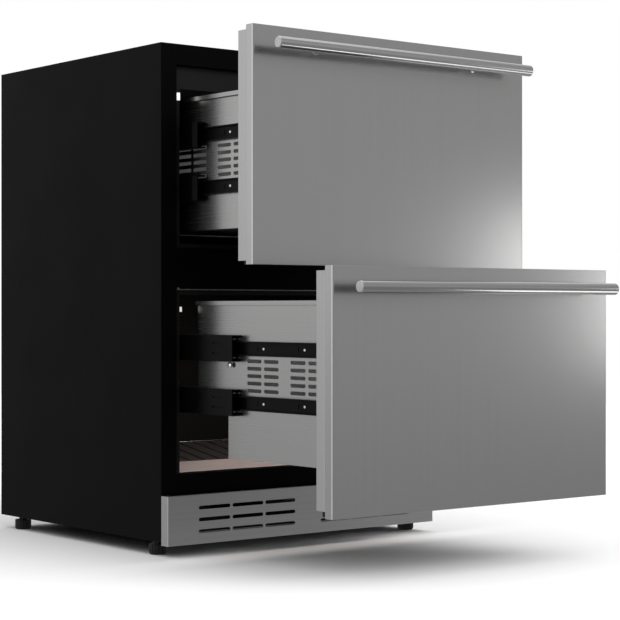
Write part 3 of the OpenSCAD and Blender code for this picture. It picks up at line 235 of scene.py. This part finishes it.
RIVET_R = 2.6 * MM
RIVET_RISE = 0.8 * MM
RIVET_IN = 17 * MM
RIVETS_DOWN = (40 * MM, 600 * MM)
rivet = [(0, RIVET_RISE), (RIVET_R * 0.55, RIVET_RISE * 0.92), (RIVET_R * 0.9, RIVET_RISE * 0.5),
         (RIVET_R, 0)]
low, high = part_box("back_panel")
bm = bmesh.new()
for x in (low.x + RIVET_IN, high.x - RIVET_IN):
    for down in spaced(*RIVETS_DOWN, 6):
        turned(bm, rivet, (x, high.y, high.z - down), (0, 1, 0), 16)
skin("back_rivets", closed(bm), zinc, "cabinet", "zinc_sheet")

black_plastic = mottled_finish("black_plastic", (0.0068, 0.0068, 0.007), (14.0, 1500.0), (0.44, 0.56),
                               bump=(0.025 * MM, 0.7), roughness=0.5, specular=0.2)
CAP_R = 11 * MM
CAP_X = 120 * MM
CAP_DOWN = 150 * MM
cap = [(0, 0.5 * MM), (CAP_R * 0.72, 0.5 * MM), (CAP_R * 0.78, 0.9 * MM), (CAP_R * 0.95, 0.8 * MM),
       (CAP_R, 0)]
bm = bmesh.new()
for x in (-CAP_X, CAP_X):
    turned(bm, cap, (x, high.y, high.z - CAP_DOWN), (0, 1, 0), 40)
skin("foam_caps", closed(bm), black_plastic, "cabinet", "black_plastic")


# Front frame
# Two painted channels close the frame between the side panels: the sill under the lower drawer and the bar
# between the drawers. A slim bright bead runs along the bar's lower edge, with a small screw at each end. They
# are a painted highlight: bright metal put where that edge shows a thin highlight line and a glint at its
# corner.
for node in ("front_sill", "mullion"):
    rounded(node, black_paint, 0.4 * MM)

FRAME_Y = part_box("front_sill")[0].y
BEAD_R = 0.7 * MM
BEAD_OUT = 0.3 * MM
# Painted highlight: the bright bead stands for the highlight line along the bar's lower edge
highlight_bead_metal = mottled_finish("bead_metal_painted_highlight", (0.50, 0.50, 0.50), (25.0, 1200.0), (0.25, 0.5),
                           metallic=1.0, roughness=0.3)
low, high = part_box("mullion")
bm = bmesh.new()
bmesh.ops.create_circle(bm, cap_ends=True, segments=14, radius=BEAD_R,
                        matrix=Matrix.Translation((low.x, FRAME_Y + BEAD_OUT, low.z + BEAD_R))
                        @ Matrix.Rotation(math.radians(90), 4, "Y"))
ends = bmesh.ops.extrude_face_region(bm, geom=bm.faces[:])
bmesh.ops.translate(bm, verts=[v for v in ends["geom"] if isinstance(v, bmesh.types.BMVert)],
                    vec=(high.x - low.x, 0, 0))
skin("mullion_highlight_bead", closed(bm), highlight_bead_metal, "cabinet", "brushed_steel")


def screw(bm, centre, axis, radius, rise):
    """Pan head with a cross recess, its flat side at centre and its top turned along axis."""
    cells = 7
    before = set(bm.verts)
    bmesh.ops.create_grid(bm, x_segments=cells, y_segments=cells, size=radius, matrix=Matrix.Identity(4))
    head = [v for v in bm.verts if v not in before]
    for v in head:
        reach = max(abs(v.co.x), abs(v.co.y))
        if reach > 0.45 * radius:
            v.co *= reach / v.co.length
        v.co.z = rise * (1 - 0.45 * (v.co.length / radius) ** 2)
    faces = list({face for v in head for face in v.link_faces})
    arm = radius / cells * 1.05
    cross = [face for face in faces
             if min(abs(face.calc_center_median().x), abs(face.calc_center_median().y)) < arm
             and face.calc_center_median().xy.length < 0.62 * radius]
    rim = [edge for edge in {e for face in faces for e in face.edges} if edge.is_boundary]
    bmesh.ops.inset_region(bm, faces=cross, thickness=0.04 * radius, depth=-0.35 * rise, use_even_offset=True)
    wall = bmesh.ops.extrude_edge_only(bm, edges=rim)["geom"]
    for v in wall:
        if isinstance(v, bmesh.types.BMVert):
            v.co.z = 0
    bmesh.ops.transform(bm, matrix=leaning(centre, axis), verts=[v for v in bm.verts if v not in before])


bright_steel = mottled_finish("bright_steel", (0.72, 0.72, 0.71), (300.0, 2500.0), (0.16, 0.3),
                              metallic=1.0, roughness=0.22)
# Bright screw heads at the bead's ends, which also paint the glint at the bar's corner
LIP_SCREW_IN = 3.3 * MM
LIP_SCREW_UP = 2.6 * MM
bm = bmesh.new()
for side in (-1, 1):
    screw(bm, (side * (high.x - LIP_SCREW_IN), FRAME_Y, low.z + LIP_SCREW_UP), (0, -1, 0), 1.5 * MM, 0.2 * MM)
skin("lip_screws_and_glint", bm, bright_steel, "cabinet", "rivet_steel")


# Liners
# Each compartment is one moulded shell of dark, satin plastic with a lip inside the frame. In the lower one
# a ribbed ramp leads up to the step over the compressor. A pale mat lies on the flat floor before it, and its
# pale colour is painted light: it stands for the lit front of that floor.
# The evaporator's cover is the upper one's rear wall.
liner_dark = mottled_finish("liner_plastic", (0.0085, 0.0078, 0.0072), (6.0, 700.0), (0.34, 0.48),
                            bump=(0.02 * MM, 0.5), roughness=0.4, specular=0.10)
for node in ("upper_liner", "lower_liner"):
    rounded(node, liner_dark, 0.5 * MM)
rounded("evaporator_cover", liner_dark, 0.25 * MM)


def slab(bm, low, high):
    """Closed block between two corners."""
    size = Vector(high) - Vector(low)
    middle = (Vector(high) + Vector(low)) / 2
    bmesh.ops.create_cube(bm, size=1.0, matrix=Matrix.Translation(middle) @ Matrix.Diagonal((*size, 1.0)))


ROOM_HALF = 258.5 * MM
FLOOR_Z = 138.8 * MM
RAMP_FROM = FRAME_Y + 185 * MM
STEP_Y = FRAME_Y + 320 * MM
RAMP_RISE = 23 * MM
MAT_T = 0.8 * MM
MAT_SIDE = 2 * MM
MAT_FRONT = 3.5 * MM
MAT_REAR = 6 * MM

# Painted light: the mat's pale colour stands for the light that falls on the front of the lower floor
lit_floor_paint = mottled_finish("floor_mat_painted_light", (0.49, 0.425, 0.41), (18.0, 1400.0), (0.55, 0.7),
                           bump=(0.03 * MM, 0.6), colours=((0.46, 0.38, 0.36), (0.54, 0.455, 0.435)),
                           roughness=0.62, specular=0.35)
bm = bmesh.new()
slab(bm, (MAT_SIDE - ROOM_HALF, FRAME_Y + MAT_FRONT, FLOOR_Z),
     (ROOM_HALF - MAT_SIDE, RAMP_FROM - MAT_REAR, FLOOR_Z + MAT_T))
skin("floor_mat_painted_light", eased(bm, 0.3 * MM), lit_floor_paint, "cabinet", "liner_plastic")

# Ribs of the ramp, each a low wedge that grows out of the floor and dies into the ramp's top
ramp_dark = mottled_finish("ramp_plastic", (0.046, 0.041, 0.039), (10.0, 700.0), (0.38, 0.52),
                           bump=(0.02 * MM, 0.5), roughness=0.45, specular=0.25)
RIB_COUNT = 15
RIB_W = 28 * MM
RIB_H = 2.6 * MM
RIB_START = 3 * MM
RIB_STOP = 8 * MM
slope = RAMP_RISE / (STEP_Y - RAMP_FROM)
bm = bmesh.new()
for x in spaced(RIB_W - ROOM_HALF, ROOM_HALF - RIB_W, RIB_COUNT):
    slab(bm, (x - RIB_W / 2, RAMP_FROM - RIB_START, 0), (x + RIB_W / 2, STEP_Y - RIB_STOP, RIB_H))
for v in bm.verts:
    run = v.co.y - RAMP_FROM
    v.co.z = FLOOR_Z + max(run, 0) * slope + (v.co.z if run < 50 * MM else v.co.z * 0.75)
skin("ramp_ribs", eased(bm, 1.0 * MM), ramp_dark, "cabinet", "liner_plastic")

# Thin bright rod in the corner between the ramp and the step, with its clips. It is a painted highlight:
# bright steel put where that corner shows a thin highlight line.
ROD_R = 1.1 * MM
rod_at = Vector((0, STEP_Y - 2.6 * MM, FLOOR_Z + RAMP_RISE + ROD_R))
ROD_HALF = ROOM_HALF - 4 * MM
ROD_EASE = 0.3 * MM
rod = [(0, -ROD_HALF), (ROD_R, ROD_EASE - ROD_HALF), (ROD_R, ROD_HALF - ROD_EASE), (0, ROD_HALF)]
clip = [(0, -3 * MM), (2.0 * MM, -2.6 * MM), (2.2 * MM, 0), (2.0 * MM, 2.6 * MM), (0, 3 * MM)]
bm = bmesh.new()
turned(bm, rod, rod_at, (1, 0, 0), 12)
for x in spaced(-178 * MM, 222 * MM, 6):
    turned(bm, clip, rod_at + Vector((x, 0, 0)), (1, 0, 0), 14)
skin("corner_rod_painted_highlight", closed(bm), bright_steel, "cabinet", "rivet_steel")

# Black strainers that close the air slots in the lower rear wall
DUCT_Z = 399 * MM
DUCT_PITCH = 16 * MM
DUCT_HALF = 42.8 * MM
STRAINER_HALF = 2.8 * MM
STRAINER_IN = (0.7 * MM, 1.1 * MM)
wall_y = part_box("evaporator_cover")[0].y
bm = bmesh.new()
for row in range(5):
    z = DUCT_Z - row * DUCT_PITCH
    slab(bm, (-DUCT_HALF, wall_y + STRAINER_IN[0], z - STRAINER_HALF),
         (DUCT_HALF, wall_y + STRAINER_IN[1], z + STRAINER_HALF))
skin("return_strainers", eased(bm, 0.1 * MM), liner_dark, "cabinet", "liner_plastic")


# Foam
# Yellowish foam, poured into the room between the casing, the liners and the back, and into both fronts. It
# holds their sheets together and stays out of sight.
foam_yellow = mottled_finish("foam", (0.66, 0.56, 0.34), (120.0, 800.0), bump=(0.3 * MM, 0.8),
                             colours=((0.58, 0.48, 0.27), (0.74, 0.65, 0.42)), roughness=0.9, specular=0.2)
for node in ("insulation", "upper_front_foam", "lower_front_foam"):
    dress(node, foam_yellow)


# Controls
# Black moulded strip set back under the top bar, with a dark glass window and touch keys. The two lamps are
# small opal lenses that glow at the left edge of each opening.
rounded("control_strip", black_plastic, 0.4 * MM)
glass_black = mottled_finish("display_glass", (0.009, 0.010, 0.012), (40.0, 900.0), (0.08, 0.16),
                             roughness=0.12, specular=0.5)
rounded("control_display", glass_black, 0.2 * MM)

opal = mottled_finish("opal_lens", (0.86, 0.86, 0.82), (80.0, 1500.0), (0.3, 0.42),
                      roughness=0.35, specular=0.5)
opal_shader = opal.node_tree.nodes["Principled BSDF"]
opal_shader.inputs["Emission Color"].default_value = (1.0, 0.97, 0.93, 1.0)
opal_shader.inputs["Emission Strength"].default_value = 0.42
rounded("cabin_lamps", opal, 0.5 * MM, 3)


# Toe grille
# Folded stainless sheet with three rows of slots at each side, brushed along its length. It closes the
# front below the sill, and the machinery draws its air through it.
grain, grain_in, grain_out = effect(
    "grain", {"Lines": ("NodeSocketVector", (2200.0, 2200.0, 14.0))}, ["Fine", "Broad"])
grain_place = add(grain, "TexCoord")
for target, share, detail in (("Fine", 1.0, 2.0), ("Broad", 0.08, 3.0)):
    shrink = add(grain, "VectorMath", operation="SCALE")
    grain.links.new(grain_in.outputs["Lines"], shrink.inputs[0])
    shrink.inputs["Scale"].default_value = share
    stretch = add(grain, "VectorMath", operation="MULTIPLY")
    grain.links.new(grain_place.outputs["Object"], stretch.inputs[0])
    grain.links.new(shrink.outputs["Vector"], stretch.inputs[1])
    noise = add(grain, "TexNoise", {"Scale": 1.0, "Detail": detail, "Roughness": 0.6})
    grain.links.new(stretch.outputs["Vector"], noise.inputs["Vector"])
    levels = add(grain, "MapRange", {"From Min": 0.28, "From Max": 0.72})
    grain.links.new(noise.outputs["Fac"], levels.inputs["Value"])
    grain.links.new(levels.outputs["Result"], grain_out.inputs[target])


def brushed(name, lines, dark, light, smooth, rough, depth):
    """Brushed steel. lines gives the grain's lines per metre along each axis, few along the grain."""
    made, tree, shader = finish(name, light, metallic=1.0, roughness=rough)
    node = tree.nodes.new("ShaderNodeGroup")
    node.node_tree = grain
    node.inputs["Lines"].default_value = lines
    spread(tree, node.outputs["Fine"], shader.inputs["Roughness"], smooth, rough)
    tint(tree, node.outputs["Broad"], shader.inputs["Base Color"], dark, light)
    relief(tree, node.outputs["Fine"], shader.inputs["Normal"], depth)
    return made


grille_steel = brushed("grille_steel", (14.0, 2200.0, 2200.0), (0.36, 0.36, 0.358), (0.40, 0.40, 0.397),
                       0.28, 0.38, 0.003 * MM)
rounded("toe_grille", grille_steel, 0.25 * MM)


# Cold side
# Aluminium fins on a tube that winds through them, and a black plastic fan, behind the upper compartment's
# rear wall. The wall itself holds the fan's motor.
aluminium = mottled_finish("fin_aluminium", (0.62, 0.63, 0.64), (90.0, 1800.0), (0.28, 0.45),
                           metallic=1.0, roughness=0.35)
dress("evaporator", aluminium)
dress("evaporator_fan", black_plastic)


# Machinery
# Compressor in gloss black with its copper pipes, black condenser with its fan, and the drain pan, all on the
# galvanised base. The cover behind them is a slotted black sheet held by screws, with a rubber gland.
gloss_black = mottled_finish("compressor_paint", (0.008, 0.008, 0.0085), (20.0, 600.0), (0.2, 0.34),
                             bump=(0.03 * MM, 0.7), roughness=0.25, specular=0.5)
rounded("compressor", gloss_black, 0.6 * MM)
dress("condenser", gloss_black)
dress("condenser_fan", black_plastic)
rounded("drain_pan", black_plastic, 0.5 * MM)

copper = mottled_finish("copper", (0.63, 0.30, 0.17), (45.0, 1600.0), (0.24, 0.46),
                        colours=((0.42, 0.19, 0.11), (0.70, 0.36, 0.21)), metallic=1.0, roughness=0.3)
dress("refrigerant_pipes", copper)

rounded("base_pan", zinc, 0.3 * MM)
rounded("rear_cover", black_paint, 0.25 * MM)
rubber = mottled_finish("rubber", (0.014, 0.014, 0.014), (30.0, 1300.0), (0.62, 0.8), bump=(0.04 * MM, 0.6),
                        roughness=0.7, specular=0.25)
rounded("cord_gland", rubber, 0.8 * MM, 3)

low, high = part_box("rear_cover")
COVER_SCREW_IN = 12 * MM
COVER_SCREW_UP = 9 * MM
COVER_SCREW_DOWN = 7 * MM
bm = bmesh.new()
for x in spaced(low.x + COVER_SCREW_IN, high.x - COVER_SCREW_IN, 4):
    for z in (low.z + COVER_SCREW_UP, high.z - COVER_SCREW_DOWN):
        screw(bm, (x, high.y, z), (0, 1, 0), 4.2 * MM, 2.2 * MM)
skin("cover_screws", bm, bright_steel, "cabinet", "rivet_steel")


# Levelling feet
# Ribbed black plastic pad with a hexagonal nut for the spanner, moulded on a stud that screws into the base.
# One stands at each corner.
for node in ("foot_front_left", "foot_front_right", "foot_rear_left", "foot_rear_right"):
    rounded(node, black_plastic, 0.35 * MM)


# Drawer fronts
# Each front is a stainless skin, brushed upright and folded round its edges, over a steel inner panel with
# foam between. A black rubber seal runs round the back, and two pegs under the inner panel set its height.
front_steel = brushed("front_steel", (2200.0, 2200.0, 10.0), (0.425, 0.425, 0.423), (0.437, 0.437, 0.434),
                      0.20, 0.24, 0.0015 * MM)
inner_steel = brushed("inner_steel", (2200.0, 2200.0, 10.0), (0.42, 0.42, 0.418), (0.44, 0.44, 0.437),
                      0.30, 0.36, 0.002 * MM)
for drawer in ("upper", "lower"):
    rounded(drawer + "_front_skin", front_steel, 0.5 * MM, 3)
    rounded(drawer + "_front_inner", inner_steel, 0.5 * MM)
    rounded(drawer + "_seal", rubber, 0.8 * MM)

PEG_R = 3.4 * MM
PEG_LEN = 9 * MM
PEG_IN = 9 * MM
PEG_EASE = 1 * MM
for drawer in ("upper", "lower"):
    low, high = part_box(drawer + "_front_inner")
    reach = min(PEG_LEN, low.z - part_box(drawer + "_front_skin")[0].z)
    peg = [(0, 0), (PEG_R, 0), (PEG_R, reach - PEG_EASE), (PEG_R - PEG_EASE, reach), (0, reach)]
    bm = bmesh.new()
    for x in (low.x + PEG_IN, high.x - PEG_IN):
        turned(bm, peg, (x, high.y - PEG_IN, low.z), (0, 0, -1), 20)
    skin(drawer + "_front_pegs", closed(bm), rubber, drawer + "_drawer", "rubber")


# Handles
# Round steel bar with turned, chamfered ends, brushed along its length, on two turned posts that widen to a
# foot against the front and to a saddle under the bar.
bar_steel = brushed("bar_steel", (2.5, 4200.0, 4200.0), (0.37, 0.37, 0.368), (0.55, 0.55, 0.547),
                    0.13, 0.20, 0.002 * MM)
post_steel = brushed("post_steel", (60.0, 60.0, 60.0), (0.55, 0.55, 0.55), (0.64, 0.64, 0.635),
                     0.16, 0.24, 0.002 * MM)
CHAMFER = 1.2 * MM
EASE = CHAMFER / 4
NICK = EASE * 0.35
POST_R = 5.5 * MM
FOOT_R = 8 * MM
FOOT_T = 3 * MM
FOOT_EASE = 0.5 * MM
FILLET = 5 * MM
SADDLE_WIDE = 1.4 * MM
SADDLE_IN = 1.5 * MM
for drawer in ("upper", "lower"):
    low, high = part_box(drawer + "_handle_bar")
    middle = (low + high) / 2
    bar_r = (high.z - low.z) / 2 - 0.05 * MM
    length = high.x - low.x
    end = [(0, 0), (bar_r - CHAMFER - EASE, 0), (bar_r - CHAMFER, NICK), (bar_r - NICK, CHAMFER),
           (bar_r, CHAMFER + EASE)]
    other_end = [(radius, length - along) for radius, along in reversed(end)]
    bm = bmesh.new()
    turned(bm, end + other_end, (low.x, middle.y, middle.z), (1, 0, 0), 64)
    skin(drawer + "_handle_bar_turned", closed(bm), bar_steel, drawer + "_drawer", "brushed_steel",
         drawer + "_handle_bar")

    foot_low, foot_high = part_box(drawer + "_handle_posts")
    face_y = foot_high.y
    reach = face_y - middle.y
    outline = [(FOOT_R - FOOT_EASE, 0), (FOOT_R, FOOT_EASE), (FOOT_R, 2.4 * MM), (FOOT_R - FOOT_EASE, FOOT_T)]
    for turn in spaced(0, math.radians(90), 6):
        outline.append((POST_R + (FOOT_R - FOOT_EASE - POST_R) * (1 - math.sin(turn)),
                        FOOT_T + FILLET * (1 - math.cos(turn))))
    for turn in spaced(math.radians(90), 0, 6):
        outline.append((POST_R + SADDLE_WIDE * (1 - math.sin(turn)),
                        reach - bar_r + SADDLE_IN - FILLET * (1 - math.cos(turn))))
    outline.append((POST_R, reach - 2 * MM))
    bm = bmesh.new()
    for x in (foot_low.x + FOOT_R, foot_high.x - FOOT_R):
        turned(bm, outline, (x, face_y, middle.z), (0, -1, 0), 40)
    skin(drawer + "_handle_posts_turned", closed(bm), post_steel, drawer + "_drawer", "brushed_steel",
         drawer + "_handle_posts")


# Drawer boxes
# Stainless sheets: sides with rows of slots and an outward hem, a back and a beaded floor. Screws through
# the front folds hold the box to the inner panel.
box_steel = brushed("box_steel", (2600.0, 4.0, 2600.0), (0.385, 0.385, 0.382), (0.391, 0.391, 0.388),
                    0.265, 0.275, 0.0002 * MM)
pan_steel = brushed("pan_steel", (8.0, 2600.0, 2600.0), (0.39, 0.39, 0.387), (0.41, 0.41, 0.407),
                    0.30, 0.36, 0.001 * MM)
BOX_HALF = 237 * MM
FOLD_T = 1.2 * MM
FOLD_SCREW_IN = 6 * MM
FOLD_SCREW_UP = 25 * MM
for drawer in ("upper", "lower"):
    for part, steel in (("box_left", box_steel), ("box_right", box_steel), ("box_back", pan_steel),
                        ("box_floor", pan_steel)):
        rounded(drawer + "_" + part, steel, 0.25 * MM)
    low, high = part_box(drawer + "_box_left")
    bm = bmesh.new()
    for side in (-1, 1):
        for z in spaced(low.z + FOLD_SCREW_UP, high.z - FOLD_SCREW_UP, 4):
            screw(bm, (side * (BOX_HALF - FOLD_SCREW_IN), low.y + FOLD_T, z), (0, 1, 0), 3.4 * MM, 1.8 * MM)
    skin(drawer + "_fold_screws", bm, bright_steel, drawer + "_drawer", "rivet_steel")

# Locating screw and rubber plug near the lower box's rear corner, between the slides
LOCATOR_Y = FRAME_Y - 111.5 * MM
LOCATOR_Z = 322.8 * MM
PLUG_Y = FRAME_Y - 122.5 * MM
PLUG_Z = 323 * MM
plug = [(0, 0.9 * MM), (3.6 * MM, 0.9 * MM), (4.4 * MM, 0.5 * MM), (4.6 * MM, 0)]
bm = bmesh.new()
for side in (-1, 1):
    screw(bm, (side * BOX_HALF, LOCATOR_Y, LOCATOR_Z), (side, 0, 0), 4.6 * MM, 3.0 * MM)
skin("lower_locating_screws", bm, bright_steel, "lower_drawer", "rivet_steel")
bm = bmesh.new()
for side in (-1, 1):
    turned(bm, plug, (side * BOX_HALF, PLUG_Y, PLUG_Z), (side, 0, 0), 24)
skin("lower_locating_plugs", closed(bm), rubber, "lower_drawer", "rubber")


# Slides
# Telescopic slides of black-coated steel with zinc-plated ball cages, two at each side of each drawer. The
# drawer members are riveted to the box, and a black stop plate clips over each middle member's front end.
rail_black = mottled_finish("black_rail", (0.0012, 0.0012, 0.0012), (35.0, 1500.0), (0.24, 0.36),
                            bump=(0.012 * MM, 0.6), roughness=0.30, specular=0.066)
cage_zinc = mottled_finish("cage_steel", (0.60, 0.60, 0.61), (200.0, 2000.0), (0.2, 0.4),
                           metallic=1.0, roughness=0.28)
for drawer in ("upper", "lower"):
    for part in ("drawer_rails", "middle_rails", "cabinet_rails"):
        rounded(drawer + "_" + part, rail_black, 0.2 * MM)
    rounded(drawer + "_rail_rivets", bright_steel, 0.35 * MM)
    dress(drawer + "_inner_cages", cage_zinc)
    dress(drawer + "_outer_cages", cage_zinc)

SLIDE_PITCH = 88.5 * MM
STOP_LEN = 15 * MM
STOP_T = 0.7 * MM
STOP_IN = 0.6 * MM
WEB_IN = 1.8 * MM
LUG_DEPTHS = (0.05 * MM, 0.9 * MM)
LUG_RUN = (28.5 * MM, 57.5 * MM)
LUG_APART = 8 * MM
LUG_HALF = 2.2 * MM
stop_black = mottled_finish("stop_rubber", (0.003, 0.003, 0.003), (50.0, 1300.0), (0.55, 0.7),
                            roughness=0.6, specular=0.1)
for drawer in ("upper", "lower"):
    low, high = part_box(drawer + "_middle_rails")
    member = high.z - low.z - SLIDE_PITCH
    bm = bmesh.new()
    for side in (-1, 1):
        for z in (low.z, low.z + SLIDE_PITCH):
            inner, outer = sorted((side * high.x, side * (high.x + STOP_T)))
            slab(bm, (inner, low.y, z + STOP_IN), (outer, low.y + STOP_LEN, z + member - STOP_IN))
    skin(drawer + "_slide_stops", eased(bm, 0.25 * MM), stop_black, drawer + "_middle_slides",
         "black_plastic")

    # Lugs that are pressed inwards from the middle member, behind its two lances
    web = high.x - WEB_IN
    bm = bmesh.new()
    for side in (-1, 1):
        inner, outer = sorted(side * (web - depth) for depth in LUG_DEPTHS)
        for middle_z in (low.z + member / 2, low.z + member / 2 + SLIDE_PITCH):
            for z in (middle_z - LUG_APART, middle_z + LUG_APART):
                slab(bm, (inner, low.y + LUG_RUN[0], z - LUG_HALF), (outer, low.y + LUG_RUN[1], z + LUG_HALF))
    skin(drawer + "_slide_lugs", eased(bm, 0.2 * MM), rail_black, drawer + "_middle_slides", "black_plastic")


# Studio
# White floor and surroundings with soft, even light. The metal sees the white room behind it, a greyer
# one before it, and a soft light at the right. Nothing shines up through the floor.
scene = bpy.context.scene
scene.view_settings.view_transform = "Standard"

FLOOR_HALF = 3.5
FLOOR_AT = (0.4, 1.9, 0)
bm = bmesh.new()
bmesh.ops.create_grid(bm, x_segments=1, y_segments=1, size=FLOOR_HALF, matrix=Matrix.Translation(FLOOR_AT))
floor_mesh = bpy.data.meshes.new("studio_floor")
bm.to_mesh(floor_mesh)
bm.free()
floor = bpy.data.objects.new("studio_floor", floor_mesh)
scene.collection.objects.link(floor)
floor.visible_glossy = False
floor_white, tree, shader = finish("studio_floor", (0.90, 0.90, 0.90), roughness=0.9, specular=0.0)


def combined(tree, operation, first, second):
    """Works one value out of two in a node tree, such as their sum or product."""
    node = add(tree, "Math", operation=operation)
    tree.links.new(first, node.inputs[0])
    tree.links.new(second, node.inputs[1])
    return node.outputs["Value"]


def blended(tree, factor, first, second):
    """Goes from one level to another as a factor rises from 0 to 1."""
    node = add(tree, "Mix", data_type="FLOAT")
    for source, label in ((factor, "Factor"), (first, "A"), (second, "B")):
        if isinstance(source, float):
            node.inputs[label].default_value = source
        else:
            tree.links.new(source, node.inputs[label])
    return node.outputs["Result"]


# The floor is lit up towards the horizon, where the lamps fall off
LIFT_FROM = 0.7
LIFT_TO = 1.9
LIFT = 0.12
path = add(tree, "LightPath")
seen = combined(tree, "MAXIMUM", path.outputs["Is Camera Ray"], path.outputs["Is Glossy Ray"])
spot = add(tree, "TexCoord")
away = add(tree, "VectorMath", operation="LENGTH")
tree.links.new(spot.outputs["Object"], away.inputs[0])
lift = add(tree, "MapRange", {"From Min": LIFT_FROM, "From Max": LIFT_TO, "To Min": 0.0, "To Max": LIFT},
           interpolation_type="SMOOTHERSTEP")
tree.links.new(away.outputs["Value"], lift.inputs["Value"])
tree.links.new(combined(tree, "MULTIPLY", seen, lift.outputs["Result"]), shader.inputs["Emission Strength"])
shader.inputs["Emission Color"].default_value = (1.0, 1.0, 1.0, 1.0)
floor_mesh.materials.append(floor_white)

BACK_LEVEL = 0.97
BACK_LOW = 0.50
FRONT_LEVEL = 0.44
FRONT_LOW = 0.32
SKY_LOW = 0.12
SKY_HIGH = 1.22
SKY_FRONT = 4.0
LEFT_GLOW = 0.9
world = bpy.data.worlds.new("studio")
scene.world = world
world.use_nodes = True
tree = world.node_tree
background = tree.nodes["Background"]
background.inputs["Color"].default_value = (1.0, 1.0, 1.0, 1.0)
path = add(tree, "LightPath")
place = add(tree, "TexCoord")


def toward(direction, low, high, level_low, level_high):
    """Level that rises smoothly as a ray turns towards a direction, from cosine low to cosine high."""
    dot = add(tree, "VectorMath", operation="DOT_PRODUCT")
    tree.links.new(place.outputs["Generated"], dot.inputs[0])
    dot.inputs[1].default_value = Vector(direction).normalized()
    levels = add(tree, "MapRange",
                 {"From Min": low, "From Max": high, "To Min": level_low, "To Max": level_high},
                 interpolation_type="SMOOTHERSTEP")
    tree.links.new(dot.outputs["Value"], levels.inputs["Value"])
    return levels.outputs["Result"]


behind = toward(UPRIGHT, -0.10, 0.09, BACK_LOW, BACK_LEVEL)
before = toward(UPRIGHT, -0.13, -0.02, FRONT_LOW, FRONT_LEVEL)
room = blended(tree, toward((-0.35, 0.94, 0.0), -0.75, 0.5, 0.0, 1.0), before, behind)
steel_room = combined(tree, "ADD", room, toward((-1, 0.12, 0), 0.86, 0.98, 0.0, LEFT_GLOW))

# What lights the rest is a soft sky, which ends at the floor
glow = combined(tree, "ADD", toward(UPRIGHT, 0.0, 1.0, SKY_LOW, SKY_HIGH),
                toward((0.30, -0.83, 0.46), 0.82, 1.0, 0.0, SKY_FRONT))
sky = combined(tree, "MULTIPLY", glow, toward(UPRIGHT, -0.02, 0.0, 0.0, 1.0))

# Only rays that no dull surface has spread see the room, so none of it comes up through the floor
unspread = add(tree, "Math", {1: 0.5}, operation="LESS_THAN")
tree.links.new(path.outputs["Diffuse Depth"], unspread.inputs[0])
mirror_ray = combined(tree, "MAXIMUM", path.outputs["Is Glossy Ray"], path.outputs["Is Transmission Ray"])
mirror_ray = combined(tree, "MULTIPLY", mirror_ray, unspread.outputs["Value"])
lit = blended(tree, mirror_ray, sky, steel_room)
tree.links.new(blended(tree, path.outputs["Is Camera Ray"], lit, 1.0), background.inputs["Strength"])


def softbox(name, at, target, width, height, watts, colour=(1.0, 1.0, 1.0)):
    """Rectangular area light that faces a point and isn't seen by the camera."""
    light = bpy.data.lights.new(name, "AREA")
    light.shape = "RECTANGLE"
    light.size = width
    light.size_y = height
    light.energy = watts
    light.color = colour
    lamp = bpy.data.objects.new(name, light)
    lamp.location = at
    lamp.rotation_euler = (Vector(target) - Vector(at)).to_track_quat("-Z", "Y").to_euler()
    lamp.visible_camera = False
    scene.collection.objects.link(lamp)
    return lamp


softbox("top_light", (0.2, -0.2, 3.2), (0, 0, 0), 3.0, 3.0, 14)
softbox("right_light", (1.78, -1.545, 0.48), (0, -0.3, 0.45), 0.42, 0.42, 1.2)
low_light = softbox("low_light", (0.9, -0.82, 0.02), (0.9, -0.82, 1.0), 0.9, 0.3, 2.2)
low_light.data.spread = math.radians(140)
WARM = (1.0, 0.92, 0.89)
CABIN_IN = 50 * MM
CABIN_AIM = 110 * MM
for name, down, watts in (("upper", 50 * MM, 0.3), ("lower", 14 * MM, 0.65)):
    lamp_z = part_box(name + "_liner")[1].z - down
    cabin = softbox(name + "_cabin_light", (0, FRAME_Y + CABIN_IN, lamp_z), (0, FRAME_Y + CABIN_AIM, 0),
                    0.4, 0.04, watts, WARM)
    cabin.visible_glossy = name == "lower"

camera_data = bpy.data.cameras.new("camera")
camera_data.lens = 105.5
camera_data.sensor_width = 36.0
camera_data.clip_start = 0.05
camera_data.clip_end = 60.0
camera = bpy.data.objects.new("camera", camera_data)
camera.location = (-1.99618, -2.552015, 0.413)
camera.rotation_euler = (math.radians(90), 0, math.radians(-38.571))
scene.collection.objects.link(camera)
scene.camera = camera
